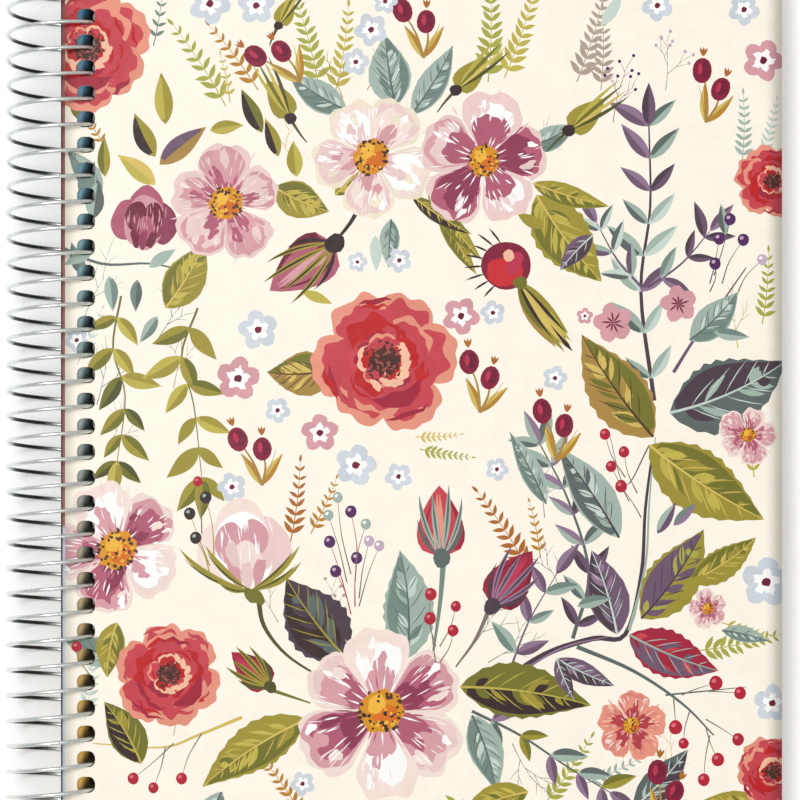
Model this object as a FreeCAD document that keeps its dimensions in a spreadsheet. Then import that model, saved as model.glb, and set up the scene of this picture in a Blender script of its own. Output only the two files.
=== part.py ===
"""Spiral-bound calendar book, lying closed with its front cover up.

One steel wire coil runs through a row of holes along the spine and binds two laminated covers, a
title sheet, a year leaf, twelve month leaves with the week leaves that follow each, and the notes
leaves at the back. +X points from the spine to the fore edge, +Y to the head and +Z up. The origin
is under the middle of the whole object, on the plane that the coil's lowest point touches.

Everything turns about the coil's own axis, which lies at half the height of the stack, so a leaf
turned over by 180 degrees lies in the mirrored place on the left. The wire climbs as it goes
round, so each sheet is bound where the wire crosses its level: sheets at mid height stand furthest
out, and each hole row follows the slant of the wire.
"""

import FreeCAD, Part
import math
import os

import Sketcher

# All in mm except the counts. A row holds as many holes as fit the page's height. The wire moves along
# the spine by half a pitch while a leaf is turned right over, so the page holes are wider by that.
SIZES = {
    "hole_pitch": 6.35,
    "hole_count": "=floor((cover_height - 2 * page_margin) / hole_pitch)",
    "wire_diameter": 0.95,
    "loop_reach": 21.2,
    "end_hook_bend": 1.0,
    "end_hook_length": 0.8,
    "cover_width": 177.8,
    "cover_height": 228.6,
    "cover_thickness": 0.7,
    "cover_corner": 5.0,
    "cover_hole_width": 4.5,
    "cover_hole_height": 4.0,
    "cover_hole_corner": 1.6,
    "cover_hole_inset": 5.2,
    "cover_wire_right": 1.0,
    "cover_wire_low": 1.2,
    "page_recess": 6.8,
    "page_width": "=cover_width - page_recess",
    "page_margin": 3.0,
    "page_corner": 4.0,
    "page_hole_play": 0.2375,
    "page_hole_diameter": "=hole_pitch / 2 + wire_diameter + 2 * page_hole_play",
    "page_hole_inset": 5.2,
    "leaf_thickness": 0.14,
    "month_thickness": 0.22,
    "title_thickness": 0.3,
    "title_overhang": 1.1,
    "leaf_gap": 0.02,
    "notes_leaves": 6,
}

# Straight stretches of wire in one turn of the coil, and in the bend at each end.
TURN_STEPS = 24
HOOK_STEPS = 3

# The leaves of each month's weeks, one leaf to a week: a year of 53.
WEEK_LEAVES = [5, 4, 4, 5, 4, 4, 5, 4, 5, 4, 4, 5]

doc = FreeCAD.newDocument("CalendarBook")
sheet = doc.addObject("Spreadsheet::Sheet", "sizes")
for row, alias in enumerate(SIZES, start=1):
    sheet.set(f"A{row}", alias)
    sheet.setAlias(f"B{row}", alias)
for row, value in enumerate(SIZES.values(), start=1):
    sheet.set(f"B{row}", str(value))
doc.recompute()


def size(alias):
    """The value of one cell of the sheet."""
    return float(getattr(sheet, alias))


def origin_feature(body, role):
    """One of a body's own origin planes or axes."""
    return next(f for f in body.Origin.OriginFeatures if f.Role == role)


def bound_constraint(sketch, name, constraint, expression):
    """Adds a sketch constraint whose value follows the sheet."""
    index = sketch.addConstraint(constraint)
    sketch.renameConstraint(index, name)
    sketch.setExpression(f"Constraints.{name}", expression)


def new_sketch(body, name):
    """A sketch on the body's own XY plane."""
    sketch = body.newObject("Sketcher::SketchObject", name)
    sketch.AttachmentSupport = [(origin_feature(body, "XY_Plane"), "")]
    sketch.MapMode = "FlatFace"
    return sketch


def draw_outline(sketch, width, height, inset, corner):
    """A sheet with a square spine side and two rounded fore-edge corners.

    The sketch's origin is on the line of the hole centres, at half the sheet's height, and inset
    is the distance from the spine edge to that line. Each argument is an expression.
    """
    w, tall, left, r = 100.0, 200.0, 5.0, 4.0
    right = w - left
    vector = FreeCAD.Vector
    z_axis = vector(0, 0, 1)
    tail_centre = vector(right - r, -tall / 2 + r, 0)
    head_centre = vector(right - r, tall / 2 - r, 0)
    sketch.addGeometry([
        Part.LineSegment(vector(-left, -tall / 2, 0), vector(right - r, -tall / 2, 0)),
        Part.ArcOfCircle(Part.Circle(tail_centre, z_axis, r), -math.pi / 2, 0),
        Part.LineSegment(vector(right, -tall / 2 + r, 0), vector(right, tall / 2 - r, 0)),
        Part.ArcOfCircle(Part.Circle(head_centre, z_axis, r), 0, math.pi / 2),
        Part.LineSegment(vector(right - r, tall / 2, 0), vector(-left, tall / 2, 0)),
        Part.LineSegment(vector(-left, tall / 2, 0), vector(-left, -tall / 2, 0)),
    ])
    tail, tail_arc, fore, head_arc, head, spine = range(6)
    for first, second in ((tail, tail_arc), (tail_arc, fore), (fore, head_arc), (head_arc, head)):
        sketch.addConstraint(Sketcher.Constraint("Tangent", first, 2, second, 1))
    sketch.addConstraint(Sketcher.Constraint("Coincident", head, 2, spine, 1))
    sketch.addConstraint(Sketcher.Constraint("Coincident", spine, 2, tail, 1))
    sketch.addConstraint(Sketcher.Constraint("Horizontal", tail))
    sketch.addConstraint(Sketcher.Constraint("Horizontal", head))
    sketch.addConstraint(Sketcher.Constraint("Vertical", fore))
    sketch.addConstraint(Sketcher.Constraint("Equal", tail_arc, head_arc))
    sketch.addConstraint(Sketcher.Constraint("Symmetric", spine, 1, spine, 2, -1))
    bound_constraint(sketch, "Corner", Sketcher.Constraint("Radius", tail_arc, r), corner)
    bound_constraint(
        sketch, "Inset", Sketcher.Constraint("DistanceX", spine, 1, -1, 1, left), inset)
    bound_constraint(
        sketch, "Width", Sketcher.Constraint("DistanceX", spine, 1, fore, 1, w), width)
    bound_constraint(
        sketch, "Height", Sketcher.Constraint("DistanceY", spine, 2, spine, 1, tall), height)


def place_first_hole(sketch, geometry, point, row_shift):
    """Ties a hole's centre point to the tail end of the row, on the line of hole centres."""
    sketch.addConstraint(Sketcher.Constraint("PointOnObject", geometry, point, -2))
    bound_constraint(
        sketch, "RowEnd", Sketcher.Constraint("DistanceY", geometry, point, -1, 1, 50.0),
        f"(sizes.hole_count - 1) * sizes.hole_pitch / 2 - ({row_shift})")


def draw_round_hole(sketch, row_shift):
    """The first hole of a page: a circle."""
    centre = FreeCAD.Vector(0, -50, 0)
    sketch.addGeometry(Part.Circle(centre, FreeCAD.Vector(0, 0, 1), 2.0))
    bound_constraint(
        sketch, "Bore", Sketcher.Constraint("Diameter", 0, 4.0), "sizes.page_hole_diameter")
    place_first_hole(sketch, 0, 3, row_shift)


def draw_cover_hole(sketch, row_shift):
    """The first hole of a cover: wider than it is tall, with rounded corners."""
    half_w, half_h, r = 2.0, 1.8, 1.0
    y = -(size("hole_count") - 1) * size("hole_pitch") / 2
    vector = FreeCAD.Vector
    z_axis = vector(0, 0, 1)
    corners = [(1, -1), (1, 1), (-1, 1), (-1, -1)]
    runs = [
        (vector(-half_w + r, y - half_h, 0), vector(half_w - r, y - half_h, 0)),
        (vector(half_w, y - half_h + r, 0), vector(half_w, y + half_h - r, 0)),
        (vector(half_w - r, y + half_h, 0), vector(-half_w + r, y + half_h, 0)),
        (vector(-half_w, y + half_h - r, 0), vector(-half_w, y - half_h + r, 0)),
    ]
    for quarter, ((side_x, side_y), run) in enumerate(zip(corners, runs)):
        centre = vector(side_x * (half_w - r), y + side_y * (half_h - r), 0)
        start = (quarter - 1) * math.pi / 2
        sketch.addGeometry(Part.LineSegment(*run))
        sketch.addGeometry(
            Part.ArcOfCircle(Part.Circle(centre, z_axis, r), start, start + math.pi / 2))
    sketch.addGeometry(Part.Point(vector(0, y, 0)))
    middle = 8
    for first in range(8):
        following = (first + 1) % 8
        sketch.addConstraint(Sketcher.Constraint("Tangent", first, 2, following, 1))
    for direction, line in (("Horizontal", 0), ("Vertical", 2), ("Horizontal", 4), ("Vertical", 6)):
        sketch.addConstraint(Sketcher.Constraint(direction, line))
    for arc in (3, 5, 7):
        sketch.addConstraint(Sketcher.Constraint("Equal", 1, arc))
    sketch.addConstraint(Sketcher.Constraint("Symmetric", 0, 1, 4, 1, middle, 1))
    bound_constraint(
        sketch, "Corner", Sketcher.Constraint("Radius", 1, r), "sizes.cover_hole_corner")
    bound_constraint(
        sketch, "Wide", Sketcher.Constraint("DistanceX", 6, 1, 2, 1, 2 * half_w),
        "sizes.cover_hole_width")
    bound_constraint(
        sketch, "Tall", Sketcher.Constraint("DistanceY", 0, 1, 4, 1, 2 * half_h),
        "sizes.cover_hole_height")
    place_first_hole(sketch, middle, 1, row_shift)


def repeat(body, feature, name, axis, length, count):
    """Repeats a feature along one of the body's axes and makes that the body's result."""
    pattern = body.newObject("PartDesign::LinearPattern", name)
    pattern.Originals = [feature]
    pattern.Direction = (origin_feature(body, axis), [""])
    pattern.setExpression("Length", length)
    pattern.setExpression("Occurrences", count)
    body.Tip = pattern
    return pattern


def add_sheets(label, outline, thickness, draw_hole, leaves, row_shift):
    """A body of one or more equal sheets, punched together with one row of holes."""
    body = doc.addObject("PartDesign::Body", label)
    body.Label = label
    body.AllowCompound = True
    edge = new_sketch(body, f"{label}_outline")
    draw_outline(edge, *outline)
    pad = body.newObject("PartDesign::Pad", f"{label}_pad")
    pad.Profile = edge
    pad.setExpression("Length", thickness)
    body.Tip = pad
    if leaves > 1:
        repeat(
            body, pad, f"{label}_leaves", "Z_Axis",
            f"{leaves - 1} * ({thickness} + sizes.leaf_gap)", str(leaves))
    hole = new_sketch(body, f"{label}_hole")
    draw_hole(hole, row_shift)
    pocket = body.newObject("PartDesign::Pocket", f"{label}_punch")
    pocket.Profile = hole
    pocket.Type = "ThroughAll"
    pocket.Reversed = True
    body.Tip = pocket
    doc.recompute()
    repeat(
        body, pocket, f"{label}_row", "Y_Axis",
        "(sizes.hole_count - 1) * sizes.hole_pitch", "sizes.hole_count")
    doc.recompute()
    return body


# ---- The stack, from the bottom up: (label, thickness alias, number of sheets) ----

stack = [("back_cover", "cover_thickness", 1)]
stack.append(("notes_leaves", "leaf_thickness", int(size("notes_leaves"))))
for month in range(len(WEEK_LEAVES), 0, -1):
    stack.append((f"week_leaves_{month:02d}", "leaf_thickness", WEEK_LEAVES[month - 1]))
    stack.append((f"month_leaf_{month:02d}", "month_thickness", 1))
stack.append(("year_leaf", "leaf_thickness", 1))
stack.append(("title_sheet", "title_thickness", 1))
stack.append(("front_cover", "cover_thickness", 1))

gap = size("leaf_gap")
stack_height = sum(count * (size(alias) + gap) for _, alias, count in stack) - gap

# ---- The coil's circle, from the stack's height and how far a loop reaches past its hole ----

half_rise = (stack_height - size("cover_thickness")) / 2
loop_reach = size("loop_reach")
coil_radius = (half_rise**2 + loop_reach**2) / (2 * loop_reach)
pitch = size("hole_pitch")
wire_radius = size("wire_diameter") / 2
quarter_pitch = pitch / 4
axis_height = coil_radius + wire_radius


def crossing(height):
    """Where the wire crosses a level, counted from the coil's axis: (angle, X)."""
    angle = math.asin(height / coil_radius)
    return angle, coil_radius * math.cos(angle)


def slant(angle):
    """How far the wire has moved along the spine at an angle round the coil."""
    return -pitch * angle / (2 * math.pi)


cover_angle, cover_crossing = crossing(half_rise)
front_spine = cover_crossing - size("cover_wire_right") - size("cover_hole_inset")
front_row_shift = slant(cover_angle) - quarter_pitch + size("cover_wire_low")
back_row_shift = slant(-cover_angle)
fore_edge = front_spine + size("cover_width")
axis_x = -(fore_edge - coil_radius - wire_radius) / 2

# Width, height, spine edge to hole centres, and corner radius of each kind of sheet.
FRONT_OUTLINE = (
    "sizes.cover_width", "sizes.cover_height", "sizes.cover_hole_inset", "sizes.cover_corner")
BACK_OUTLINE = (
    "sizes.cover_width", "sizes.cover_height",
    "sizes.cover_hole_inset + sizes.cover_wire_right", "sizes.cover_corner")
PAGE_HEIGHT = "sizes.cover_height - 2 * sizes.page_margin"
PAGE_OUTLINE = ("sizes.page_width", PAGE_HEIGHT, "sizes.page_hole_inset", "sizes.page_corner")


def title_outline(across):
    """The title sheet: a page whose spine side reaches out past the front cover's spine edge."""
    inset = f"{across - front_spine} + sizes.title_overhang"
    width = f"sizes.page_width - sizes.page_hole_inset + {inset}"
    return width, PAGE_HEIGHT, inset, "sizes.page_corner"


bottom = axis_height - stack_height / 2
sheets = {}
for label, alias, count in stack:
    thickness = size(alias)
    middle = bottom + (count * (thickness + gap) - gap) / 2
    angle, across = crossing(middle - axis_height)
    along = slant(angle)
    outline, draw_hole, row_shift = PAGE_OUTLINE, draw_round_hole, 0.0
    if label == "front_cover":
        outline, draw_hole, row_shift = FRONT_OUTLINE, draw_cover_hole, front_row_shift
        across, along = across - size("cover_wire_right"), 0.0
    elif label == "back_cover":
        outline, row_shift, along = BACK_OUTLINE, back_row_shift, 0.0
    elif label == "title_sheet":
        outline = title_outline(across)
    body = add_sheets(label, outline, f"sizes.{alias}", draw_hole, count, row_shift)
    body.Placement.Base = FreeCAD.Vector(axis_x + across, along, bottom)
    sheets[label] = body
    bottom += count * (thickness + gap)


# ---- The coil ----

def hook_course(start, outwards, inwards):
    """Points of the wire's cut end: a quarter bend from its course towards the axis, then straight.

    The bend leaves the point start along outwards and ends along inwards.
    """
    bend = size("end_hook_bend")
    points = []
    for step in range(1, HOOK_STEPS + 1):
        turned = step / HOOK_STEPS * math.pi / 2
        points.append(start + (outwards * math.sin(turned) + inwards * (1 - math.cos(turned))) * bend)
    points.append(points[-1] + inwards * size("end_hook_length"))
    return points


def make_coil():
    """A right-handed helix of wire from above the head hole to above the tail hole.

    It is drawn about Z, starting on +X, as short straight stretches of round wire with mitred
    joints. Both ends stop at the top of the coil, where no leaf passes as it turns.
    """
    count = int(size("hole_count"))
    turns = []
    for step in range(count * TURN_STEPS + 1):
        angle = 2 * math.pi * step / TURN_STEPS
        turns.append(FreeCAD.Vector(
            coil_radius * math.cos(angle), coil_radius * math.sin(angle), pitch * step / TURN_STEPS))
    inwards = FreeCAD.Vector(-1, 0, 0)
    forward = FreeCAD.Vector(0, 1, pitch / (2 * math.pi * coil_radius)).normalize()
    head_hook = hook_course(turns[0], -forward, inwards)
    tail_hook = hook_course(turns[-1], forward, inwards)
    course = head_hook[::-1] + turns + tail_hook
    section = Part.Wire(Part.makeCircle(wire_radius, course[0], course[1] - course[0]))
    mitred_corners = 1
    coil = doc.addObject("Part::Feature", "spiral_coil")
    coil.Label = "spiral_coil"
    coil.Shape = Part.makePolygon(course).makePipeShell([section], True, False, mitred_corners)
    head_hole = (count - 1) * pitch / 2
    top = math.pi / 2
    start_y = head_hole - quarter_pitch + slant(top - 2 * math.pi)
    to_spine = FreeCAD.Rotation(
        FreeCAD.Vector(0, 0, 1), FreeCAD.Vector(-1, 0, 0), FreeCAD.Vector(0, -1, 0), "XZY")
    coil.Placement = FreeCAD.Placement(FreeCAD.Vector(axis_x, start_y, axis_height), to_spine)
    return coil


sheets["spiral_coil"] = make_coil()
doc.recompute()

# ---- Every object is checked before anything is written ----

for item in doc.Objects:
    if "Invalid" in item.State or "Error" in item.State:
        raise RuntimeError(f"{item.Label} failed: {item.State}")
for label, item in sheets.items():
    if item.Shape.isNull() or not item.Shape.isValid():
        raise RuntimeError(f"{label} has no valid shape")

os.makedirs("parts", exist_ok=True)
for label, item in sheets.items():
    item.Shape.exportStep(f"parts/{label}.step")
print(f"coil radius {coil_radius:.3f}, stack {stack_height:.2f}")
print(f"coil axis x {axis_x:.3f}, z {axis_height:.3f}")
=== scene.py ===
"""Looks of the spiral-bound calendar book: flowered cover, coil, title sheet, leaves, studio."""

import functools
import math
import random

import bmesh
import bpy
from mathutils import Matrix, Vector
from mathutils.geometry import area_tri, delaunay_2d_cdt


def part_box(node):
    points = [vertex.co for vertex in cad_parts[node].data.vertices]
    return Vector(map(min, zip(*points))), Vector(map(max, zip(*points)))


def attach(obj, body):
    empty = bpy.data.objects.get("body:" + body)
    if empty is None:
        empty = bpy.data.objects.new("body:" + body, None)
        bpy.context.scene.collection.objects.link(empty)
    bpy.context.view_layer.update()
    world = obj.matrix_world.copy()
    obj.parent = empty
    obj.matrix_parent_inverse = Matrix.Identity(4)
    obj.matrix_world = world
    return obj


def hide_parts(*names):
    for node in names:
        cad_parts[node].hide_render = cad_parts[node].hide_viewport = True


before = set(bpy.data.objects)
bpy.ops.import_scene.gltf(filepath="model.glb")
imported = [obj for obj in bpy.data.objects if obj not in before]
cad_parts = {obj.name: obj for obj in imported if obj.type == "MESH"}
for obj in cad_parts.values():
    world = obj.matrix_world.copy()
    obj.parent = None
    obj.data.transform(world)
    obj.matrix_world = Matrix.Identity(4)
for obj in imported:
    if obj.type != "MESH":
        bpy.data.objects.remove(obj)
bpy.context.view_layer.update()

bl_info = {
    "name": "Calendar Book",
    "version": (1, 0, 0),
    "blender": (4, 5, 0),
    "location": "3D View > Sidebar > Calendar Book",
    "description": "Flowered cover, steel coil and ruled leaves of a spiral-bound calendar book",
    "category": "Object",
}

MM = 0.001
INK_DEPTH = 1.12
LEAF_STEPS = 18
PRINT_TONE = 0.85

# Tolerances: the smallest printed outline and triangle in mm2, and the reach of a weld.
SMALLEST_OUTLINE = 0.002
SMALLEST_TRIANGLE = 1e-9
CUT_TOLERANCE = 1e-4
WELD = 0.002 * MM

# The binding holes, and the parts of a leaf that carry its printed band and its ruling.
HOLE_PITCH = 6.35 * MM
HOLE_INSET = 5.2 * MM
HOLE_ROW_SHIFT = -1.0114 * MM
BAND_WIDTH = 8.4 * MM
BAND_REACH = 110.6 * MM
SPINE_MARGIN = 14 * MM
FORE_MARGIN = 10 * MM
RULED_REACH = 100 * MM
HEAD_BAND_FOOT = 90 * MM
STRIP_REACH = 1.5 * MM

# The wire's rounded tip: how far each ring goes on and how wide it is.
TIP_RINGS = ((0.1 * MM, 0.86), (0.05 * MM, 0.74))

# Where the camera stands, how far its picture is shifted up and the width of its sensor in mm.
CAMERA_PLACE = (1.9 * MM, -29.4 * MM)
CAMERA_SHIFT = 0.144
SENSOR_WIDTH = 36.0

COVER_LOW, COVER_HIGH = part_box("front_cover")
COVER_MIDDLE = (COVER_LOW + COVER_HIGH) / 2
COIL_LOW, COIL_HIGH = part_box("spiral_coil")


def ink(code):
    """Linear red, green and blue of a hexadecimal colour."""
    shares = [int(code[i:i + 2], 16) / 255 for i in (0, 2, 4)]
    return tuple(s / 12.92 if s <= 0.04045 else ((s + 0.055) / 1.055) ** 2.4 for s in shares)


INKS = {name: ink(code) for name, code in {
    "salmon": "E89C86", "peach": "F4C3A6", "rose red": "CB4A56",
    "poppy": "C21B1D", "crimson": "A92240", "wine": "7C1E3A",
    "seed": "5C2A20", "seed light": "A5594C",
    "dusty pink": "D9A3AA", "pale pink": "EBCFCC", "blush": "F3E0D8",
    "mauve": "B9667C", "plum rose": "96405C", "petal white": "FFFDFA",
    "lilac": "C9B3C4", "coral": "DE8C80", "deep coral": "B9434C",
    "mustard": "DD9A1E", "amber": "D9761B", "yolk": "F0BC45",
    "bark": "5B3A2A", "umber": "3F2B2A",
    "olive": "A79A3B", "moss": "7C7A2C", "olive light": "C4B755",
    "olive dark": "5A5A2A", "lime": "AFB050", "khaki": "B08F4A",
    "ochre": "BE8A2C", "rust": "B5712A", "straw": "D8C06A",
    "sage": "A9BAAE", "sage light": "CBD8CE", "sage dark": "7C9087",
    "slate": "66716E", "plum": "775D74", "plum dark": "54434F",
    "plum light": "9A7F98", "taupe": "B7A79A", "twig": "8A7A70",
    "hip": "8E1740", "hip light": "C23A5A", "hip red": "CC2F35",
    "berry": "B8203A", "berry light": "E07A86", "violet": "5B2A66",
    "sky": "D2D9DF", "maroon": "7A1238", "cream shade": "F0E4D0",
}.items()}


# ---- Printed shapes: closed outlines in millimetres from the middle of the cover ----

def swell(t):
    """Width along a leaf: nothing at both ends, widest just before the middle."""
    return math.sin(math.pi * t ** 0.8)


def slim(t):
    """Width along a brush stroke: nothing at both ends, widest in the middle."""
    return math.sin(math.pi * t)


def taper(t):
    """Width along a stem, which thins to a third."""
    return 1 - 0.67 * t


def bud_shape(t):
    """Width along a bud: round at the base, drawn in at the tip."""
    return math.sin(math.pi * t ** 0.6) ** 0.8


def course(x, y, heading, length, bend=0.0, steps=6):
    """Points of a curved line from x, y, whose heading in degrees turns by bend on the way."""
    points = [Vector((x, y))]
    for step in range(steps):
        angle = math.radians(heading + bend * (step + 0.5) / steps)
        points.append(points[-1] + Vector((math.cos(angle), math.sin(angle))) * (length / steps))
    return points


def beyond(x, y, heading, distance):
    """The point at that distance from x, y in the direction of heading."""
    return course(x, y, heading, distance, 0, 1)[-1]


def smooth_line(*corners, steps=5):
    """Points of a smooth line through the given corners."""
    corners = [Vector(c) for c in corners]
    ends = [2 * corners[0] - corners[1]] + corners + [2 * corners[-1] - corners[-2]]
    points = []
    for a, b, c, d in zip(ends, ends[1:], ends[2:], ends[3:]):
        for step in range(steps):
            t = step / steps
            points.append(0.5 * (
                2 * b + (c - a) * t + (2 * a - 5 * b + 4 * c - d) * t * t
                + (3 * b - a - 3 * c + d) * t ** 3))
    return points + [corners[-1]]


def edges_of(line, width, profile):
    """The two edges of a stroke of that width along a line."""
    left, right = [], []
    last = len(line) - 1
    for index, point in enumerate(line):
        ahead = line[min(index + 1, last)] - line[max(index - 1, 0)]
        side = Vector((-ahead.y, ahead.x)).normalized() * (width / 2 * profile(index / last))
        left.append(point + side)
        right.append(point - side)
    return left, right


class Picture:
    """A printed picture: flat outlines, each one painted over those before it."""

    def __init__(self, seed):
        self.dice = random.Random(seed)
        self.outlines = []
        self.inks = []

    def vary(self, low, high):
        """A number between low and high, the same on every run."""
        return self.dice.uniform(low, high)

    def lay(self, outline, colour):
        """Paints a closed outline, a little lighter or darker than the ink."""
        area = sum(a.cross(b) for a, b in zip(outline, outline[1:] + outline[:1]))
        if abs(area) < SMALLEST_OUTLINE:
            return
        tone = 1 + self.vary(-0.05, 0.05)
        self.outlines.append(outline if area > 0 else outline[::-1])
        self.inks.append(tuple(min(1.0, share ** INK_DEPTH * tone) for share in INKS[colour]))

    def stroke(self, line, width, colour, profile=slim):
        """Paints a brush stroke along a line."""
        left, right = edges_of(line, width, profile)
        self.lay(left + right[::-1], colour)

    def blot(self, x, y, across, along, turn, colour, ruffle=0.0, lobes=5, count=14):
        """Paints a round patch with a wavy rim, across wide and along tall, turned by degrees."""
        phase = self.vary(0, math.tau)
        fine = self.vary(0, math.tau)
        spin = Matrix.Rotation(math.radians(turn), 2)
        outline = []
        for corner in circle_points(count):
            angle = math.atan2(corner.y, corner.x)
            reach = 1 + ruffle * (
                0.6 * math.sin(lobes * angle + phase) + 0.4 * math.sin((lobes + 2) * angle + fine))
            outline.append(Vector((x, y)) + spin @ Vector(
                (corner.x * reach * across / 2, corner.y * reach * along / 2)))
        self.lay(outline, colour)

    def twig(self, *corners, width=0.5, colour="twig"):
        """Paints a thin stem through the corners."""
        self.stroke(smooth_line(*corners), width, colour, taper)

    # ---- Leaves ----

    def leaf(self, x, y, heading, length, width, tones, bend=12, veins=5, toothed=False):
        """A leaf: base tone, darker half, brushed light and dark patches, side veins and a midrib."""
        base, dark, light, rib = tones
        line = course(x, y, heading, length, bend, LEAF_STEPS)
        left, right = edges_of(line, width, swell)
        for side in (left, right):
            for index in range(1, LEAF_STEPS, 2 if toothed else 3):
                side[index] = side[index] + (side[index] - line[index]) * (0.1 if toothed else 0.03)
        self.lay(left + right[::-1], base)
        inner_left, inner_right = edges_of(line, width * 0.9, swell)
        shaded = inner_left if self.dice.random() < 0.5 else inner_right
        self.lay(line[1:LEAF_STEPS] + shaded[1:LEAF_STEPS][::-1], dark)
        for _ in range(veins * 4):
            t = self.vary(0.06, 0.78)
            foot = line[round(t * LEAF_STEPS)]
            side = self.dice.choice((-1, 1))
            reach = width * 0.42 * swell(t + 0.1) / math.sin(math.radians(42))
            self.stroke(
                course(
                    foot.x, foot.y, heading + bend * t + side * 42, reach * self.vary(0.6, 1),
                    -side * 16, 4),
                width * self.vary(0.07, 0.17), self.dice.choice((light, dark, base, light)))
        for vein in range(veins):
            t = 0.14 + 0.62 * vein / max(1, veins - 1)
            foot = line[round(t * LEAF_STEPS)]
            along = heading + bend * t
            for side in (-1, 1):
                reach = width * 0.45 * swell(t + 0.1) / math.sin(math.radians(42))
                self.stroke(
                    course(foot.x, foot.y, along + side * 42, reach, -side * 14, 3),
                    0.2 + width * 0.007, rib)
        self.stroke(line, 0.35 + width * 0.02, rib, taper)

    def leaflet(self, x, y, heading, length, width, base, dark=None):
        """A small leaf in one or two tones."""
        line = course(x, y, heading, length, self.vary(-18, 18), 10)
        left, right = edges_of(line, width, swell)
        self.lay(left + right[::-1], base)
        if dark:
            self.lay(line[1:10] + left[1:10][::-1], dark)

    def fern(self, x, y, heading, length, colour, pairs=8, bend=10, reach=0.2):
        """A fern frond: a thin stem with pairs of narrow leaflets that get shorter to the tip."""
        line = course(x, y, heading, length, bend, pairs + 1)
        self.stroke(line, 0.3, colour, taper)
        for index in range(1, pairs + 1):
            along = heading + bend * index / pairs
            size = length * reach * (1 - 0.6 * index / (pairs + 1))
            for side in (-1, 1):
                foot = line[index]
                tilt = along + side * self.vary(42, 56)
                self.leaflet(foot.x, foot.y, tilt, size, size * 0.34, colour)
        self.leaflet(line[-1].x, line[-1].y, heading + bend, length * 0.1, length * 0.035, colour)

    def spray(self, x, y, heading, length, colour, tip=None, depth=2, width=0.26):
        """A bare forked twig, with a dot on each tip where tip names a colour."""
        line = course(x, y, heading, length, self.vary(-16, 16), 4)
        self.stroke(line, width, colour, taper)
        if depth == 0:
            if tip:
                self.blot(line[-1].x, line[-1].y, 0.9, 0.9, 0, tip, count=7)
            return
        for foot, side in ((line[2], -1), (line[3], 1), (line[4], self.dice.choice((-1, 1)) * 0.4)):
            self.spray(
                foot.x, foot.y, heading + side * self.vary(26, 42), length * self.vary(0.5, 0.7),
                colour, tip, depth - 1, width * 0.85)

    def sprig(self, line, spacing, length, width, colours, spread=46, stem="twig", thick=0.7):
        """A stem with leaves in pairs along it."""
        self.stroke(line, thick, stem, taper)
        walked = spacing * 0.5
        for a, b in zip(line, line[1:]):
            walked += (b - a).length
            if walked < spacing:
                continue
            walked = 0
            along = math.degrees(math.atan2(b.y - a.y, b.x - a.x))
            for side in (-1, 1):
                base, dark = self.dice.choice(colours)
                size = self.vary(0.75, 1.1)
                self.leaflet(
                    b.x, b.y, along + side * self.vary(spread - 10, spread + 14), length * size,
                    width * size, base, dark)
        base, dark = self.dice.choice(colours)
        along = math.degrees(math.atan2(*(line[-1] - line[-2]).yx))
        self.leaflet(line[-1].x, line[-1].y, along, length, width, base, dark)

    # ---- Berries and hips ----

    def berry(self, x, y, size, colour="berry", glint="berry light", foot=None, stem="twig"):
        """A round berry with a glint, on a stem from foot where that is given."""
        if foot:
            middle = ((x + foot[0]) / 2 + self.vary(-1, 1), (y + foot[1]) / 2)
            self.twig(foot, middle, (x, y), width=0.35, colour=stem)
        self.blot(x, y, size, size * 1.08, 0, colour, 0.03, 3, 12)
        self.blot(x - size * 0.14, y + size * 0.16, size * 0.36, size * 0.3, 30, glint, 0.1, 3, 8)

    def hip(self, x, y, heading, size, foot):
        """A small rose hip on an ochre stem from foot, with its dried calyx at the far end."""
        self.twig(foot, ((x + foot[0]) / 2 + 0.8, (y + foot[1]) / 2), (x, y), width=0.8, colour="khaki")
        tip = beyond(x, y, heading, size * 0.62)
        for side in (-22, 0, 22):
            self.stroke(course(tip.x, tip.y, heading + side, size * 0.45, 0, 3), 0.7, "rust")
        self.blot(x, y, size * 1.12, size * 0.88, heading, "hip", 0.03, 2, 14)
        self.blot(x + 0.5, y + 0.3, size * 0.7, size * 0.5, heading, "maroon", 0.1, 3, 10)
        self.blot(x - 0.5, y + 0.4, size * 0.5, size * 0.22, heading, "hip light", 0.1, 2, 8)

    def hip_pair(self, x, y, heading=85, size=5.6, gap=8.6):
        """Two hips and two ochre leaves on stems from one foot at x, y."""
        for turn in (12, -28):
            tip = course(x, y, heading + turn * 1.4, 9.5, 8, 4)
            self.leaflet(x, y, heading + turn * 1.5, 9.5, 2.2, "ochre", "straw")
            self.stroke(tip, 0.3, "khaki", taper)
        first = beyond(x, y, heading + 14, gap * 1.5)
        second = beyond(x, y, heading - 14, gap * 1.05)
        self.hip(first.x, first.y, heading + 6, size, (x, y))
        self.hip(second.x, second.y, heading - 12, size * 0.95, (x, y))

    # ---- Flowers ----

    def five_petals(self, x, y, turn, reach, across, along, *brush):
        """Five round petals, each with its middle at that reach from x, y."""
        for heading in range(0, 360, 72):
            spot = beyond(x, y, turn + heading, reach)
            self.blot(spot.x, spot.y, across, along, turn + heading, *brush)

    def small_flower(self, x, y, size, colour="sky"):
        """A five-petalled filler flower with a white middle and a maroon eye."""
        turn = self.vary(0, 72)
        self.five_petals(x, y, turn, size * 0.29, size * 0.48, size * 0.44, colour, 0.08, 3, 12)
        self.five_petals(x, y, turn, size * 0.14, size * 0.3, size * 0.2, "petal white", 0.3, 5, 11)
        self.blot(x, y, size * 0.2, size * 0.18, turn, "maroon", 0.16, 4, 9)

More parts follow.
